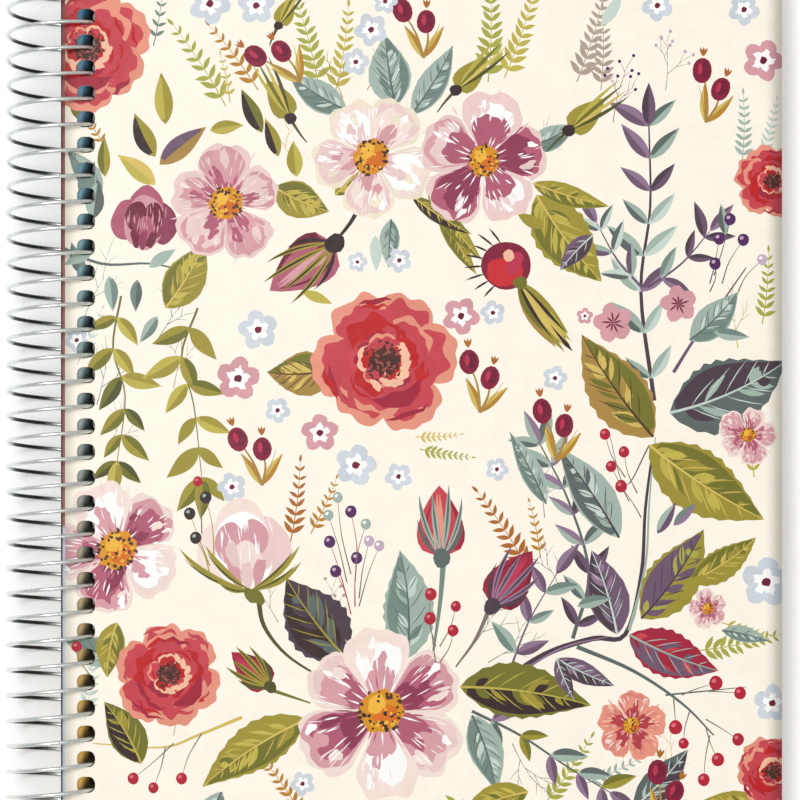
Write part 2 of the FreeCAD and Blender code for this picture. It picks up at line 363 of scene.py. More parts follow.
    def petal_shape(self, x, y, heading, length, spread, colour, ruffle=0.025, notch=0.04):
        """A petal that widens from x, y to a notched, wavy rim, spread degrees to each side."""
        wave = self.vary(0, math.tau)
        outline = [Vector((x, y))]
        for step in range(1, 24):
            t = step / 12 - 1
            reach = (1 - t * t) ** 0.2 * (
                1 - notch * math.exp(-(t / 0.22) ** 2)
                + ruffle * (math.sin(8 * t + wave) + 0.6 * math.sin(15 * t - wave)))
            outline.append(beyond(x, y, heading + spread * t, length * reach))
        self.lay(outline, colour)

    def petal(self, x, y, heading, length, spread, tones, edge, heart):
        """One petal of a wild rose: pale rim, body, tonal patches and fine light and dark streaks."""
        rim, body, shade, light = tones
        for colour, size, share in (
                (edge, 1.0, 1.0), (rim, 0.94, 0.9), (body, 0.84, 0.8), (shade, heart, 0.84)):
            self.petal_shape(x, y, heading + self.vary(-2, 2), length * size, spread * share, colour)
        for colour, reach, size in (
                (rim, 0.76, 1.0), (shade, 0.56, 0.9), (edge, 0.7, 0.8), (light, 0.8, 0.6),
                (shade, 0.4, 1.2)):
            spot = beyond(x, y, heading + self.vary(-0.6, 0.6) * spread, length * reach)
            self.blot(
                spot.x, spot.y, length * self.vary(0.2, 0.34) * size, length * self.vary(0.1, 0.2) * size,
                heading + self.vary(-24, 24), colour, 0.3, 3, 16)
        for count, low, high, colour in (
                (10, 0.42, 0.68, light), (5, 0.62, 0.82, edge), (9, 0.16, 0.34, shade)):
            for _ in range(count):
                tilt = heading + self.vary(-0.86, 0.86) * spread
                start = beyond(x, y, tilt, length * self.vary(low, high))
                self.stroke(
                    course(start.x, start.y, tilt, length * self.vary(0.1, 0.26), self.vary(-14, 14), 3),
                    self.vary(0.2, 0.55), colour)

    def wild_rose(self, x, y, radius, kinds, edge="blush", turn=0, petals=5, eye=0.3, heart=0.36):
        """An open rose of broad petals round a stippled mustard middle."""
        order = list(range(petals))
        self.dice.shuffle(order)
        for petal in order:
            heading = turn + 360 * petal / petals + self.vary(-5, 5)
            size = radius * self.vary(0.92, 1.06)
            self.petal(
                x, y, heading, size, 360 / petals * self.vary(0.52, 0.6), kinds[petal % len(kinds)], edge,
                heart)
        shade, light = kinds[-1][2:]
        self.blot(x, y, radius * 0.5, radius * 0.48, 0, shade, 0.16, 9, 30)
        for spike in range(22):
            tilt = turn + 360 * spike / 22 + self.vary(-5, 5)
            start = beyond(x, y, tilt, radius * 0.2)
            self.stroke(
                course(start.x, start.y, tilt, radius * self.vary(0.14, 0.28), 0, 2),
                radius * 0.022, self.dice.choice((light, shade, light)))
        self.stamens(x, y, radius * eye)

    def stamens(self, x, y, radius):
        """The stippled middle of a rose."""
        self.blot(x, y, radius * 2, radius * 1.8, self.vary(0, 90), "mustard", 0.09, 7, 20)
        self.blot(x + radius * 0.2, y - radius * 0.2, radius * 1.1, radius, 20, "amber", 0.2, 5, 14)
        self.blot(x - radius * 0.2, y + radius * 0.3, radius * 0.9, radius * 0.7, 60, "yolk", 0.2, 5, 12)
        for colour, count, low, high in (
                ("bark", 26, 0.5, 1.0), ("umber", 16, 0.1, 0.95), ("yolk", 16, 0.1, 0.8)):
            for _ in range(count):
                spot = beyond(
                    x, y, self.vary(0, 360), radius * math.sqrt(self.vary(low * low, high * high)))
                size = radius * self.vary(0.09, 0.2)
                self.blot(spot.x, spot.y, size * 1.3, size, self.vary(0, 180), colour, 0.2, 3, 6)

    def fold(self, x, y, radius, start, sweep, width, colour):
        """A wavy fold of a bloom: a broad arc about x, y from the heading start."""
        steps = max(5, int(abs(sweep) / 16))
        line = [
            beyond(x, y, start + sweep * step / steps, radius * self.vary(0.94, 1.06))
            for step in range(steps + 1)]
        self.stroke(line, width, colour)

    def camellia(self, x, y, radius, turn=0):
        """A full red bloom: rings of ruffled petals, salmon at the rim, round a seeded middle."""
        for petals, size, rims, bodies in (
                (6, 1.0, ("salmon",), ("rose red",)),
                (5, 0.76, ("salmon", "rose red", "rose red"), ("rose red", "poppy", "rose red")),
                (5, 0.54, ("rose red", "poppy"), ("poppy", "rose red", "crimson")),
                (5, 0.38, ("peach", "salmon"), ("poppy", "rose red"))):
            first = turn + self.vary(0, 60)
            spread = 360 / petals * 0.62
            for petal in range(petals):
                heading = first + 360 * petal / petals + self.vary(-6, 6)
                reach = radius * size * self.vary(0.93, 1.05)
                self.petal_shape(x, y, heading, reach, spread, rims[petal % len(rims)], 0.025, 0.05)
                self.petal_shape(
                    x, y, heading + self.vary(-5, 5), reach * self.vary(0.84, 0.93), spread * 0.93,
                    bodies[petal % len(bodies)], 0.03, 0.09)
            for petal in range(petals):
                colour = self.dice.choice(("poppy", "crimson", "rose red"))
                self.fold(
                    x, y, radius * size * self.vary(0.7, 0.84), self.vary(0, 360), self.vary(28, 60),
                    radius * self.vary(0.04, 0.1), colour)
        self.fold(x, y, radius * 0.58, turn - 130, 84, radius * 0.24, "crimson")
        self.fold(x, y, radius * 0.5, turn + 70, 70, radius * 0.2, "poppy")
        for petal in range(7):
            tilt = turn - 130 + 24 * petal
            spot = beyond(x, y, tilt, radius * self.vary(0.28, 0.36))
            self.blot(spot.x, spot.y, radius * 0.2, radius * 0.1, tilt + 60, "peach", 0.2, 3, 12)
        self.blot(x, y, radius * 0.42, radius * 0.38, 0, "seed", 0.3, 9, 26)
        for colour, count, reach in (("seed", 34, 0.28), ("seed light", 26, 0.2), ("umber", 16, 0.2)):
            for _ in range(count):
                spot = beyond(x, y, self.vary(0, 360), radius * reach * self.vary(0.25, 1))
                self.blot(
                    spot.x, spot.y, radius * self.vary(0.04, 0.09), radius * 0.035, self.vary(0, 180),
                    colour, 0.3, 3, 7)

    def bud(self, x, y, heading, length, width, tones, sepals=("sage", "slate")):
        """A rosebud on its hip: folded petals held by long pointed sepals."""
        body, dark, light = tones
        line = course(x, y, heading, length, 0, 9)
        left, right = edges_of(line, width, bud_shape)
        self.lay(left + right[::-1], body)
        self.lay(line[1:8] + right[1:8][::-1], dark)
        for offset, colour, share in (
                (0.16, light, 0.2), (-0.22, body, 0.3), (0.3, dark, 0.14), (-0.02, light, 0.1),
                (0.24, body, 0.14)):
            side = [p.lerp(e, abs(offset) * 1.8) for p, e in zip(line, left if offset > 0 else right)]
            self.stroke(side[1:9], width * share, colour)
        for tilt, reach, thick in (
                (-30, 0.9, 1.3), (26, 0.95, 1.4), (-11, 1.02, 1.6), (9, 0.9, 1.5), (44, 0.66, 1.0),
                (-46, 0.62, 1.0)):
            colour = sepals[0] if thick > 1.2 else sepals[1]
            sepal = course(x, y, heading + tilt * 1.25, length * reach, -tilt * 1.15, 6)
            self.stroke(sepal, thick, colour)
            self.stroke(sepal[1:], thick * 0.35, sepals[1])
        self.blot(x, y, width * 0.42, width * 0.36, heading, sepals[1], 0.08, 3, 12)

    def green_bud(self, x, y, heading, length):
        """A closed bud wrapped in its olive sepals."""
        line = course(x, y, heading, length * 0.7, 8, 8)
        self.stroke(course(x, y, heading + 180, length * 0.45, 12, 4), 0.9, "olive dark", taper)
        self.stroke(line, length * 0.4, "olive", bud_shape)
        self.stroke(line, length * 0.16, "olive light")
        self.stroke(line[:6], length * 0.12, "umber")
        for tilt, colour in ((-16, "olive dark"), (14, "olive light"), (4, "moss"), (-6, "straw")):
            self.stroke(course(x, y, heading + tilt, length * 1.05, -tilt, 6), length * 0.055, colour)
        self.blot(x, y, length * 0.2, length * 0.18, 0, "umber", 0.1, 3, 9)

    def big_hip(self, x, y, radius, heading):
        """A large red hip with a spiked calyx."""
        for tilt in range(-70, 71, 20):
            start = beyond(x, y, heading + tilt, radius * 0.85)
            self.stroke(
                course(start.x, start.y, heading + tilt * 0.7, radius * self.vary(0.6, 1), 10, 3),
                0.6, "umber")
        self.blot(x, y, radius * 2, radius * 1.92, 0, "hip", 0.02, 3, 24)
        for right, up, across, along, turn, *brush in (
                (-0.05, -0.25, 1.5, 1.2, 0, "hip red", 0.08, 4, 18),
                (0.35, 0.1, 0.6, 1.0, -20, "hip light", 0.14, 4, 12),
                (0.1, 0.4, 0.45, 0.5, 0, "peach", 0.2, 4, 10)):
            self.blot(x + radius * right, y + radius * up, radius * across, radius * along, turn, *brush)

    def tulip(self, x, y, radius, heading, tones):
        """A half-open globe of overlapping upright petals standing on x, y."""
        rim, body, shade, light = tones
        for tilt, reach, size, colour in (
                (-30, 1.08, 1.3, body), (30, 1.08, 1.3, rim), (0, 1.3, 1.5, rim), (0, 0.9, 1.7, light),
                (-17, 1.0, 1.05, body), (14, 1.12, 0.9, shade), (-13, 1.2, 0.78, shade),
                (-4, 0.66, 0.9, rim)):
            spot = beyond(x, y, heading + tilt, radius * reach)
            self.blot(
                spot.x, spot.y, radius * size, radius * size * 0.74, heading - tilt * 0.4, colour,
                0.04, 4, 24)
        for tilt, reach, colour in ((-34, 0.5, shade), (30, 0.46, shade), (-2, 0.36, body), (16, 0.9, body)):
            spot = beyond(x, y, heading + tilt, radius * reach)
            self.blot(spot.x, spot.y, radius * 0.62, radius * 0.26, heading + tilt * 0.5, colour, 0.2, 3, 14)
        for _ in range(20):
            tilt = heading + self.vary(-36, 36)
            start = beyond(x, y, tilt, radius * self.vary(0.6, 1.4))
            self.stroke(
                course(start.x, start.y, heading + self.vary(-10, 10), radius * self.vary(0.2, 0.5), 6, 3),
                self.vary(0.2, 0.45), light)


@functools.cache
def circle_points(count):
    """Corners of a circle of radius 1."""
    shape = bmesh.new()
    bmesh.ops.create_circle(shape, segments=count, radius=1.0)
    points = [vert.co.to_2d() for vert in shape.verts]
    shape.free()
    return points


OLIVE = ("olive", "moss", "olive light", "straw")
DARK_OLIVE = ("moss", "umber", "olive", "olive light")
BROWN_LEAF = ("khaki", "moss", "straw", "bark")
SAGE = ("sage", "sage dark", "sage light", "slate")
DUSK = ("slate", "plum dark", "sage", "sage light")
PLUM = ("plum", "plum dark", "plum light", "sage light")
ROSE_LEAF = ("crimson", "plum", "rose red", "sage")
HALF_PLUM = ("olive", "plum", "lime", "plum dark")

DUSTY = (
    ("dusty pink", "pale pink", "mauve", "blush"), ("dusty pink", "dusty pink", "mauve", "pale pink"),
    ("pale pink", "dusty pink", "mauve", "blush"))
PALE = (
    ("pale pink", "blush", "dusty pink", "petal white"),
    ("blush", "petal white", "pale pink", "petal white"),
    ("pale pink", "pale pink", "dusty pink", "petal white"))
ROSY = (
    ("mauve", "plum rose", "plum rose", "petal white"), ("pale pink", "petal white", "mauve", "petal white"),
    ("dusty pink", "pale pink", "mauve", "petal white"))
MIXED = (
    ("dusty pink", "mauve", "plum rose", "petal white"),
    ("blush", "petal white", "dusty pink", "petal white"),
    ("pale pink", "dusty pink", "mauve", "petal white"))
CORAL = (("salmon", "coral", "deep coral", "peach"), ("coral", "salmon", "deep coral", "blush"))
LILAC = DUSTY[1:]
GLOBE = ("blush", "pale pink", "dusty pink", "petal white")
PLUM_GLOBE = ("mauve", "plum rose", "wine", "dusty pink")

RED_BUD = ("rose red", "crimson", "salmon")
WINE_BUD = ("crimson", "wine", "hip light")
PINK_BUD = ("mauve", "wine", "dusty pink")


def paint_greenery(art):
    """Ferns, bare twigs and branches, which lie behind everything else."""
    for x, y, heading, length, colour, pairs in (
            (-49, 72, 118, 24, "lime", 8), (-41, 76, 122, 20, "ochre", 7),
            (-48, 73, 96, 12, "olive light", 5),
            (-67, 87, 76, 15, "sage dark", 5),
            (-26, 77, 100, 24, "lime", 10), (-22, 75, 76, 22, "olive light", 9),
            (16, 78, 84, 26, "lime", 11),
            (20, 79, 66, 24, "olive light", 10), (-1, -13, -14, 13, "lime", 8),
            (-2, -10, -2, 11, "straw", 7),
            (68, -63, 6, 21, "lime", 10), (74, -56, -20, 12, "olive light", 6),
            (-33, -36, 78, 20, "rust", 8),
            (-28, -34, 60, 15, "ochre", 7), (26, -43, 118, 23, "rust", 9), (29, -40, 96, 14, "ochre", 6),
            (38, 78, 68, 23, "taupe", 10), (44, 76, 84, 20, "taupe", 9), (79, 58, 84, 17, "sage", 8),
            (84, 60, 70, 14, "sage light", 7), (-84, -80, 78, 18, "sage light", 8),
            (84, 18, 80, 18, "lime", 8),
            (-79, 62, 120, 12, "ochre", 6), (30, -101, 50, 20, "lime", 9), (-30, -104, 120, 18, "ochre", 8),
            (60, 100, 110, 16, "lime", 7), (-10, 104, 60, 14, "taupe", 7),
            (82, -20, 96, 14, "olive light", 7),
            (-86, 8, 60, 15, "sage light", 7), (10, -100, 200, 18, "lime", 8), (40, -96, 20, 16, "sage", 7)):
        art.fern(x, y, heading, length, colour, pairs)
    for x, y, heading, length, colour, tip in (
            (47, 68, 84, 9, "plum light", "violet"), (60, 76, 80, 8, "taupe", "lilac"),
            (-32, 58, 120, 9, "straw", None), (-14, 76, 60, 7, "khaki", None),
            (-20, 74, 110, 7, "khaki", None),
            (-22, -60, 100, 8, "taupe", "taupe"), (12, -62, 52, 9, "sage dark", None),
            (16, -66, 34, 9, "sage dark", None), (22, -86, -66, 9, "sage dark", None),
            (-66, 14, 60, 9, "sage dark", None),
            (-62, 2, 80, 9, "taupe", None), (-84, 20, 70, 10, "sage", None),
            (-81, -2, 74, 9, "sage dark", None),
            (30, -30, 94, 8, "plum light", None), (34, -48, 110, 7, "plum light", None),
            (-79, -14, 60, 8, "taupe", None),
            (78, 12, 100, 9, "olive light", None), (-62, -84, 80, 9, "sage", None),
            (-36, -56, 120, 8, "taupe", None),
            (62, -98, 90, 8, "straw", None), (24, 60, 30, 7, "sage", None)):
        art.spray(x, y, heading, length, colour, tip)
    art.twig((-92, 38), (-80, 33), (-68, 33), (-58, 31), width=0.9, colour="slate")
    art.sprig(
        smooth_line((-75, 25), (-77, 12), (-74, 0), (-76, -16)), 6.4, 9.5, 3.6,
        [("olive", "moss"), ("olive light", "olive"), ("moss", "olive dark")], 42, "moss", 0.6)
    art.sprig(
        smooth_line((-56, 22), (-60, 10), (-57, -2), (-55, -20)), 6.6, 10.5, 4.0,
        [("olive", "moss"), ("olive light", "olive"), ("olive", None)], 46, "moss", 0.6)
    art.sprig(
        smooth_line((57.2, -1), (53.9, 26), (56.2, 46.8), (55.9, 67)), 7.4, 11, 3.4,
        [("plum", "plum dark"), ("plum light", "plum"), ("sage", "slate"), ("sage light", "sage")], 44,
        "plum dark", 1.1)
    art.sprig(
        smooth_line((55.5, 27), (64, 33), (71, 41)), 6.4, 9, 2.7,
        [("plum", "plum dark"), ("sage", "sage dark"), ("plum light", "plum")], 40, "plum", 0.7)
    art.sprig(
        smooth_line((54.2, 27), (48, 34), (43, 43)), 6.0, 9.5, 2.8,
        [("plum light", "plum"), ("sage", "plum"), ("sage light", "slate")], 40, "plum", 0.7)
    art.sprig(
        smooth_line((37, -60), (41, -44), (36, -26), (29, -12)), 6.0, 9.5, 3.0,
        [("plum", "plum dark"), ("sage", "slate"), ("plum light", "sage")], 42, "slate", 1.0)
    art.sprig(
        smooth_line((21, -69), (26, -56), (33, -44)), 6.2, 9.5, 3.2,
        [("plum", "plum light"), ("sage", "sage dark")], 40, "plum", 0.6)
    art.twig(
        (18, -72), (30, -64), (42, -60), (50, -59), (54, -44), (55, -28), (57, -12), width=1.7,
        colour="plum dark")
    art.twig((20, -71), (34, -62.5), (46, -59.5), width=0.7, colour="plum light")
    art.twig((51, -58), (55, -42), (56, -26), (57.5, -10), width=0.8, colour="sage")
    art.twig((56, -12), (50, -22), (46, -9), width=0.4, colour="slate")
    art.twig((62, 6), (67, 14), (73, 22), (80, 32), width=0.9, colour="plum")
    art.twig((38, -62), (52, -68), (64, -76), (72, -84), width=1.1, colour="slate")
    art.twig((60, -74), (70, -73), (80, -72), width=0.5, colour="slate")
    art.twig((-45, -79.5), (-56, -84), (-65, -87), (-82, -86), width=0.9, colour="straw")
    art.sprig(
        smooth_line((12, -78), (24, -84), (36, -92), (46, -98)), 6.4, 9, 3.2,
        [("sage", "slate"), ("olive", "moss"), ("plum light", "plum")], 40, "slate", 0.8)


def paint_leaves(art):
    """The larger leaves."""
    for x, y, heading, length, width, tones, bend, toothed in (
            (-22, 7, 196, 17, 11, BROWN_LEAF, -26, False), (28, 50, -60, 27, 13, OLIVE, 14, True),
            (27, 53, -22, 20, 5.5, OLIVE, 10, False), (57, -10, 132, 31, 14, BROWN_LEAF, -14, True),
            (61, -4, 12, 32, 17, DUSK, 24, True), (66, 14, 36, 17, 8, SAGE, 18, False),
            (56, -12, -40, 34, 15, OLIVE, 14, True),
            (48.5, -35, 119, 27, 10, ("sage", "slate", "sage light", "plum dark"), 10, False),
            (30.4, -26.6, 113, 20, 5.4, SAGE, 8, False),
            (48, -59, 100, 22, 10, PLUM, 14, False), (54, -55, 46, 27, 12.5, HALF_PLUM, 18, True),
            (66, -46, 24, 20, 7.5, OLIVE, 20, True), (51, -59, -30, 24, 11, ROSE_LEAF, 16, True),
            (9, -72, 0, 33, 13, DARK_OLIVE, -16, True), (-29, -80, 204, 31, 11, OLIVE, 18, True),
            (12, -79, -64, 20, 8.5, SAGE, -16, False),
            (-19, -65, 134, 25, 15, ("plum dark", "umber", "slate", "olive"), -14, True),
            (-4, -65, 84, 27, 12, SAGE, 20, True), (-64, 22, 52, 19, 10, OLIVE, 14, False),
            (-70, -91, 112, 18, 9, DARK_OLIVE, 18, False), (-76, -66, 150, 14, 7, SAGE, 14, True),
            (-19, 71, 156, 17, 7.5, SAGE, -16, False), (-7, 72, 102, 18, 10.5, SAGE, -8, False),
            (-3, 70, 52, 20, 7, SAGE, 14, False), (-37, 52, -32, 15, 9, OLIVE, 16, False),
            (-22, 50, 40, 12, 5, OLIVE, 16, False), (4, 50, -76, 22, 5, OLIVE, 22, False),
            (1, 51, -56, 22, 4.5, OLIVE, 8, False),
            (-3, 50, -40, 18, 4, ("moss", "umber", "olive", "straw"), 14, False),
            (-8, 44, -96, 12, 5, SAGE, 6, False), (-76, -56, 250, 14, 7, OLIVE, 20, False),
            (-80, 50, 120, 14, 6, SAGE, 14, False), (26, 62, 16, 13, 6, SAGE, 20, False),
            (42, 40, -140, 12, 5, PLUM, 14, False), (74, -58, -6, 12, 4, SAGE, -14, False),
            (33, -65, -30, 16, 5.4, PLUM, 10, False), (33, -65, -72, 11, 3.8, PLUM, 10, False),
            (26, -98, 190, 18, 8, OLIVE, 20, False), (52, -102, 40, 20, 8, DUSK, 14, False),
            (-50, -98, 240, 16, 7, SAGE, 20, False), (-24, 100, 140, 18, 8, OLIVE, 20, False),
            (28, 104, 20, 18, 8, SAGE, 20, False), (72, 108, 200, 16, 7, OLIVE, 20, False),
            (-60, 106, 30, 16, 6, PLUM, 20, False), (86, -104, 160, 18, 8, OLIVE, 18, False)):
        art.leaf(x, y, heading, length, width, tones, bend, 5 if length > 14 else 3, toothed)
    for x, y, heading, length, width, base, dark in (
            (-64, 67.5, 94, 13, 4.6, "olive", "olive light"), (-66.5, 59.5, 124, 12, 5, "olive", "umber"),
            (-65.5, 57.5, 42, 15, 5.4, "khaki", "plum"), (-53, 66, 16, 8.5, 3.4, "olive light", "olive"),
            (-66.5, 52.5, 136, 12, 4.6, "straw", "olive light"), (-79, 54.5, 96, 10, 3.2, "olive", "moss"),
            (-40, 65.5, 118, 12, 4.2, "moss", "umber"), (-36, 59.5, 106, 10, 3.6, "olive", "umber"),
            (-31.5, 54.5, 98, 9, 4, "olive light", "olive"), (-84, 68, 112, 9, 4.2, "olive", "moss"),
            (-82, 44, 84, 10, 4.6, "slate", "sage"), (-85, 50, 70, 9, 4, "sage dark", None),
            (-78, 30, -80, 9, 3.4, "sage", "sage dark"), (-71, 29, -96, 8, 3, "sage dark", "slate"),
            (-68, 32, 40, 8, 3, "sage", None), (-84, 30, 120, 9, 3.4, "sage dark", "slate"),
            (-66, 20, -120, 8, 3, "sage", "sage dark"), (-82, 36, 200, 8, 3, "sage", None),
            (30, 42, 160, 8, 3, "olive", None), (72, 16, -10, 9, 3, "sage", "sage dark"),
            (44, 92, 50, 10, 3, "sage light", None), (75, 40, 100, 8, 2.6, "sage", "slate"),
            (38, -52, 20, 9, 3, "sage", "sage dark"), (58, -34, 60, 9, 3, "plum", "sage"),
            (62, -32, 46, 8, 2.6, "plum light", "sage dark"), (-12, 40, -86, 9, 3, "sage light", None),
            (64, -48, 30, 8, 2.6, "olive", None), (-30, 26, -20, 8, 2.6, "olive light", None)):
        art.leaflet(x, y, heading, length, width, base, dark)


def paint_blooms(art):
    """Roses, camellias, buds and tulips."""
    art.twig((-41, -50), (-39.5, -57), (-34, -64), (-25, -70), width=1.3, colour="olive dark")
    art.twig((5, -40), (4, -52), (2, -66), width=1.5, colour="sage dark")
    art.twig((17, -51), (13, -60), (8, -67), width=1.2, colour="twig")
    art.twig((-40, -72), (-34, -74), (-28, -76), width=1.1, colour="moss")
    art.twig((-15, 54), (-17, 45), (-24, 36), width=1.6, colour="umber")
    art.tulip(-43.5, -48.5, 11.5, 96, GLOBE)
    for tilt, reach in ((-84, 15), (-66, 17), (62, 16), (82, 21), (100, 9)):
        art.stroke(course(-43, -48, 90 + tilt, reach, -tilt * 0.55, 6), 1.7, "olive")
        art.stroke(course(-43, -48, 93 + tilt, reach * 0.9, -tilt * 0.5, 6), 0.5, "olive dark")
    art.blot(-42, -49.5, 6, 3.4, -30, "moss", 0.2, 4, 12)
    art.tulip(-70, 36, 8, 84, PLUM_GLOBE)
    art.wild_rose(-49, 48, 14.5, DUSTY, "pale pink", 20)
    art.wild_rose(-13, 59.5, 15.5, PALE, "cream shade", 50, 5, 0.3)
    art.wild_rose(15, 58.5, 17, ROSY, "pale pink", 12, 5, 0.24, 0.66)
    art.wild_rose(-76, -38, 17, MIXED, "blush", 40, 5, 0.3)
    art.wild_rose(-10.5, -78, 21.5, MIXED, "blush", 30, 6, 0.27, 0.5)
    art.wild_rose(51.5, -81.5, 9, CORAL, "salmon", 15, 5, 0.24, 0.5)
    art.wild_rose(80.5, -9.5, 7.5, LILAC, "blush", 0, 5, 0.26)
    art.wild_rose(70.5, -52.5, 5.2, LILAC, "blush", 30, 5, 0.3)
    for x, y, size in ((47, 18.3, 9.6), (63.3, 23, 9)):
        art.five_petals(x, y, 30, size * 0.26, size * 0.52, size * 0.46, "dusty pink", 0.08, 3, 12)
        for petal in range(9):
            art.stroke(course(x, y, 40 * petal + 11, size * art.vary(0.2, 0.34), 12, 3), 0.5, "wine")
    art.camellia(-9.6, 8.8, 18, 20)
    art.camellia(-83.5, 86.5, 16, 0)
    art.camellia(-63.2, -68.8, 13.6, 45)
    art.camellia(86.5, 53.5, 9.5, 90)
    art.camellia(86.5, -93, 9.5, 130)
    art.camellia(20, 112, 12, 30)
    art.wild_rose(-44, -112, 13, ROSY, "pale pink", 20)
    art.wild_rose(64, 111, 9, PALE, "blush", 20)
    art.camellia(30, -115, 11, 0)
    art.bud(4.5, -40, 92, 18, 12, RED_BUD)
    art.bud(17, -52, 54, 17, 11, WINE_BUD, ("plum light", "plum dark"))
    art.bud(-38, -72, 138, 13, 8, WINE_BUD, ("olive", "olive dark"))
    art.bud(-22, 38, 216, 20, 13, PINK_BUD, ("olive", "umber"))
    art.green_bud(-33, 69, 118, 16)
    art.green_bud(8, 76, 44, 16)
    art.green_bud(36, 66, 38, 17)
    art.green_bud(-36, 92, 60, 12)
    art.big_hip(20.5, 32.5, 6.2, 172)
    for tilt, reach, width, colour in (
            (14, 18, 3.4, "olive"), (-14, 19, 3.6, "khaki"), (2, 22, 4.2, "umber"),
            (9, 20, 2.6, "olive light"),
            (-7, 21, 3.0, "olive"), (22, 13, 2.2, "olive"), (-20, 14, 2.0, "moss"), (-2, 20, 1.6, "straw"),
            (12, 18, 1.0, "umber"), (-11, 17, 0.9, "umber"), (5, 21, 1.0, "straw")):
        art.stroke(course(23.5, 28.5, -58 + tilt, reach, 10 - tilt, 8), width, colour, swell)
    art.blot(24, 28.2, 3.6, 3.2, 0, "moss", 0.1, 3, 12)


def paint_small_things(art):
    """Hips, berries and filler flowers."""
    for x, y, heading in (
            (-30.5, 78, 136), (0, 84, 100), (70, 68, 80), (14, -4, 88), (-40, -22, 104), (33, -16, 92),
            (58, -106, 76)):
        art.hip_pair(x, y, heading)
    for x, y, size, foot in (
            (72.5, -71, 3.4, (64, -74)), (78.5, -73.5, 3.0, (70, -73)), (62.5, -82, 3.4, (62, -75)),
            (64.5, -86, 2.6, (66, -78)), (78, -85, 3.0, (70, -80)), (73, -90, 3.2, (70, -82)),
            (69.5, -95, 3.0, (71, -84)), (45, -9.3, 2.7, (50, -20)), (49.7, -13.7, 2.7, (53, -24)),
            (46.5, -17.3, 2.7, (51, -26)), (49, -22.2, 3.0, (54, -30)), (1.8, -49, 3.0, (3, -62)),
            (1.6, -55, 3.0, (3, -66)), (8, -52, 2.6, (4, -62)), (7.3, -58, 2.8, (4, -66)),
            (-72, -94.7, 2.8, (-62, -86)), (-67, -97, 2.6, (-64, -87)), (-60, -94.7, 2.8, (-55, -83.5)),
            (-56, -21, 2.4, (-55, -34)), (-86, -62, 2.6, (-82, -70))):
        art.berry(x, y, size, foot=foot)
    for x, y, foot in (
            (-18, -28.5, (-17, -46)), (-23.3, -36, (-19, -50)), (-16.6, -40, (-17, -52)),
            (-21.8, -43.3, (-18, -54)), (76, 44, (72, 30)), (73.3, 39.2, (71, 28)), (79.3, 38.9, (74, 28)),
            (72.3, 33, (71, 26))):
        art.berry(x, y, 2.9, "violet", "lilac", foot, "deep coral" if x < 0 else "slate")
    for x, y, foot in (
            (-21.3, -25, (-18, -44)), (-23.6, -29.4, (-19, -46)), (-14.3, -31.6, (-17, -46)),
            (-13.5, -35.8, (-16, -50)), (-11, -37, (-16, -52)), (84, 34, (78, 26))):
        art.berry(x, y, 2.6, "sage" if x < -14 else "lilac", "petal white", foot, "twig")
    for x, y, foot in ((-54, -25, (-52, -40)), (-58, -29, (-53, -42)), (-56.5, -35, (-53, -44))):
        art.berry(x, y, 2.9, "umber", "sage", foot, "olive")
    for x, y, size in (
            (-53, 97.5, 10), (-41.5, 97, 9), (-13, 91, 8), (-16.8, 83, 6.6), (-9.5, 98, 6), (58, 97, 7.6),
            (79.5, 96, 7.6), (-41, 16.6, 9.5),
            (-16.4, 33.4, 4.8), (-6, 33.8, 6), (17.2, 20.8, 6), (32.6, 4.6, 6), (-36.2, -3.4, 6.2),
            (-47.5, -22.4, 7), (-16.8, -17, 10), (-6.2, -19.8, 6.6), (18.2, -18, 5.6), (85, -46, 12),
            (86.5, -76, 9), (-84, 104, 8), (4, 106, 6), (-20, -106, 7), (76, -110, 7), (44, 108, 6),
            (-86, 14, 6), (-30, -96, 6)):
        art.small_flower(x, y, size)
    for x, y, size in (
            (-46, 4.5, 10.5), (84.3, 83.4, 10), (9.3, 20, 9), (-25.7, -9, 9), (-68, -110, 8), (40, 20, 4),
            (-46, 108, 8),
            (-84, -104, 7)):
        art.small_flower(x, y, size, "dusty pink")


def paint_cover():
    """The whole cover picture."""
    art = Picture(11)
    paint_greenery(art)
    paint_leaves(art)
    paint_blooms(art)
    paint_small_things(art)
    return art


# ---- Meshes ----

def rounded_outline(low, high, corner, square_left=False, steps=5):
    """An upright rectangle between two corners, with rounded corners."""
    outline = []
    for turn, (x, y) in enumerate(((high.x, low.y), (high.x, high.y), (low.x, high.y), (low.x, low.y))):
        if square_left and x == low.x:
            outline.append(Vector((x, y)))
            continue
        centre = Vector([
            value - math.copysign(corner, value - least - 1e-9)
            for value, least in ((x, low.x), (y, low.y))])
        for step in range(steps + 1):
            angle = math.radians(90 * (turn - 1) + 90 * step / steps)
            outline.append(centre + Vector((math.cos(angle), math.sin(angle))) * corner)
    return outline


def cover_holes(cover):
    """Outlines of the row of binding holes, in millimetres from the middle of the cover."""
    holes = []
    half = Vector((cover.hole_width, cover.hole_height)) / MM / 2
    pitch = cover.hole_pitch / MM
    x = (COVER_LOW.x - COVER_MIDDLE.x + cover.hole_inset) / MM
    for index in range(cover.hole_count):
        y = cover.row_shift / MM + (index - (cover.hole_count - 1) / 2) * pitch
        centre = Vector((x, y))
        holes.append(rounded_outline(centre - half, centre + half, cover.hole_corner / MM, steps=4))
    return holes


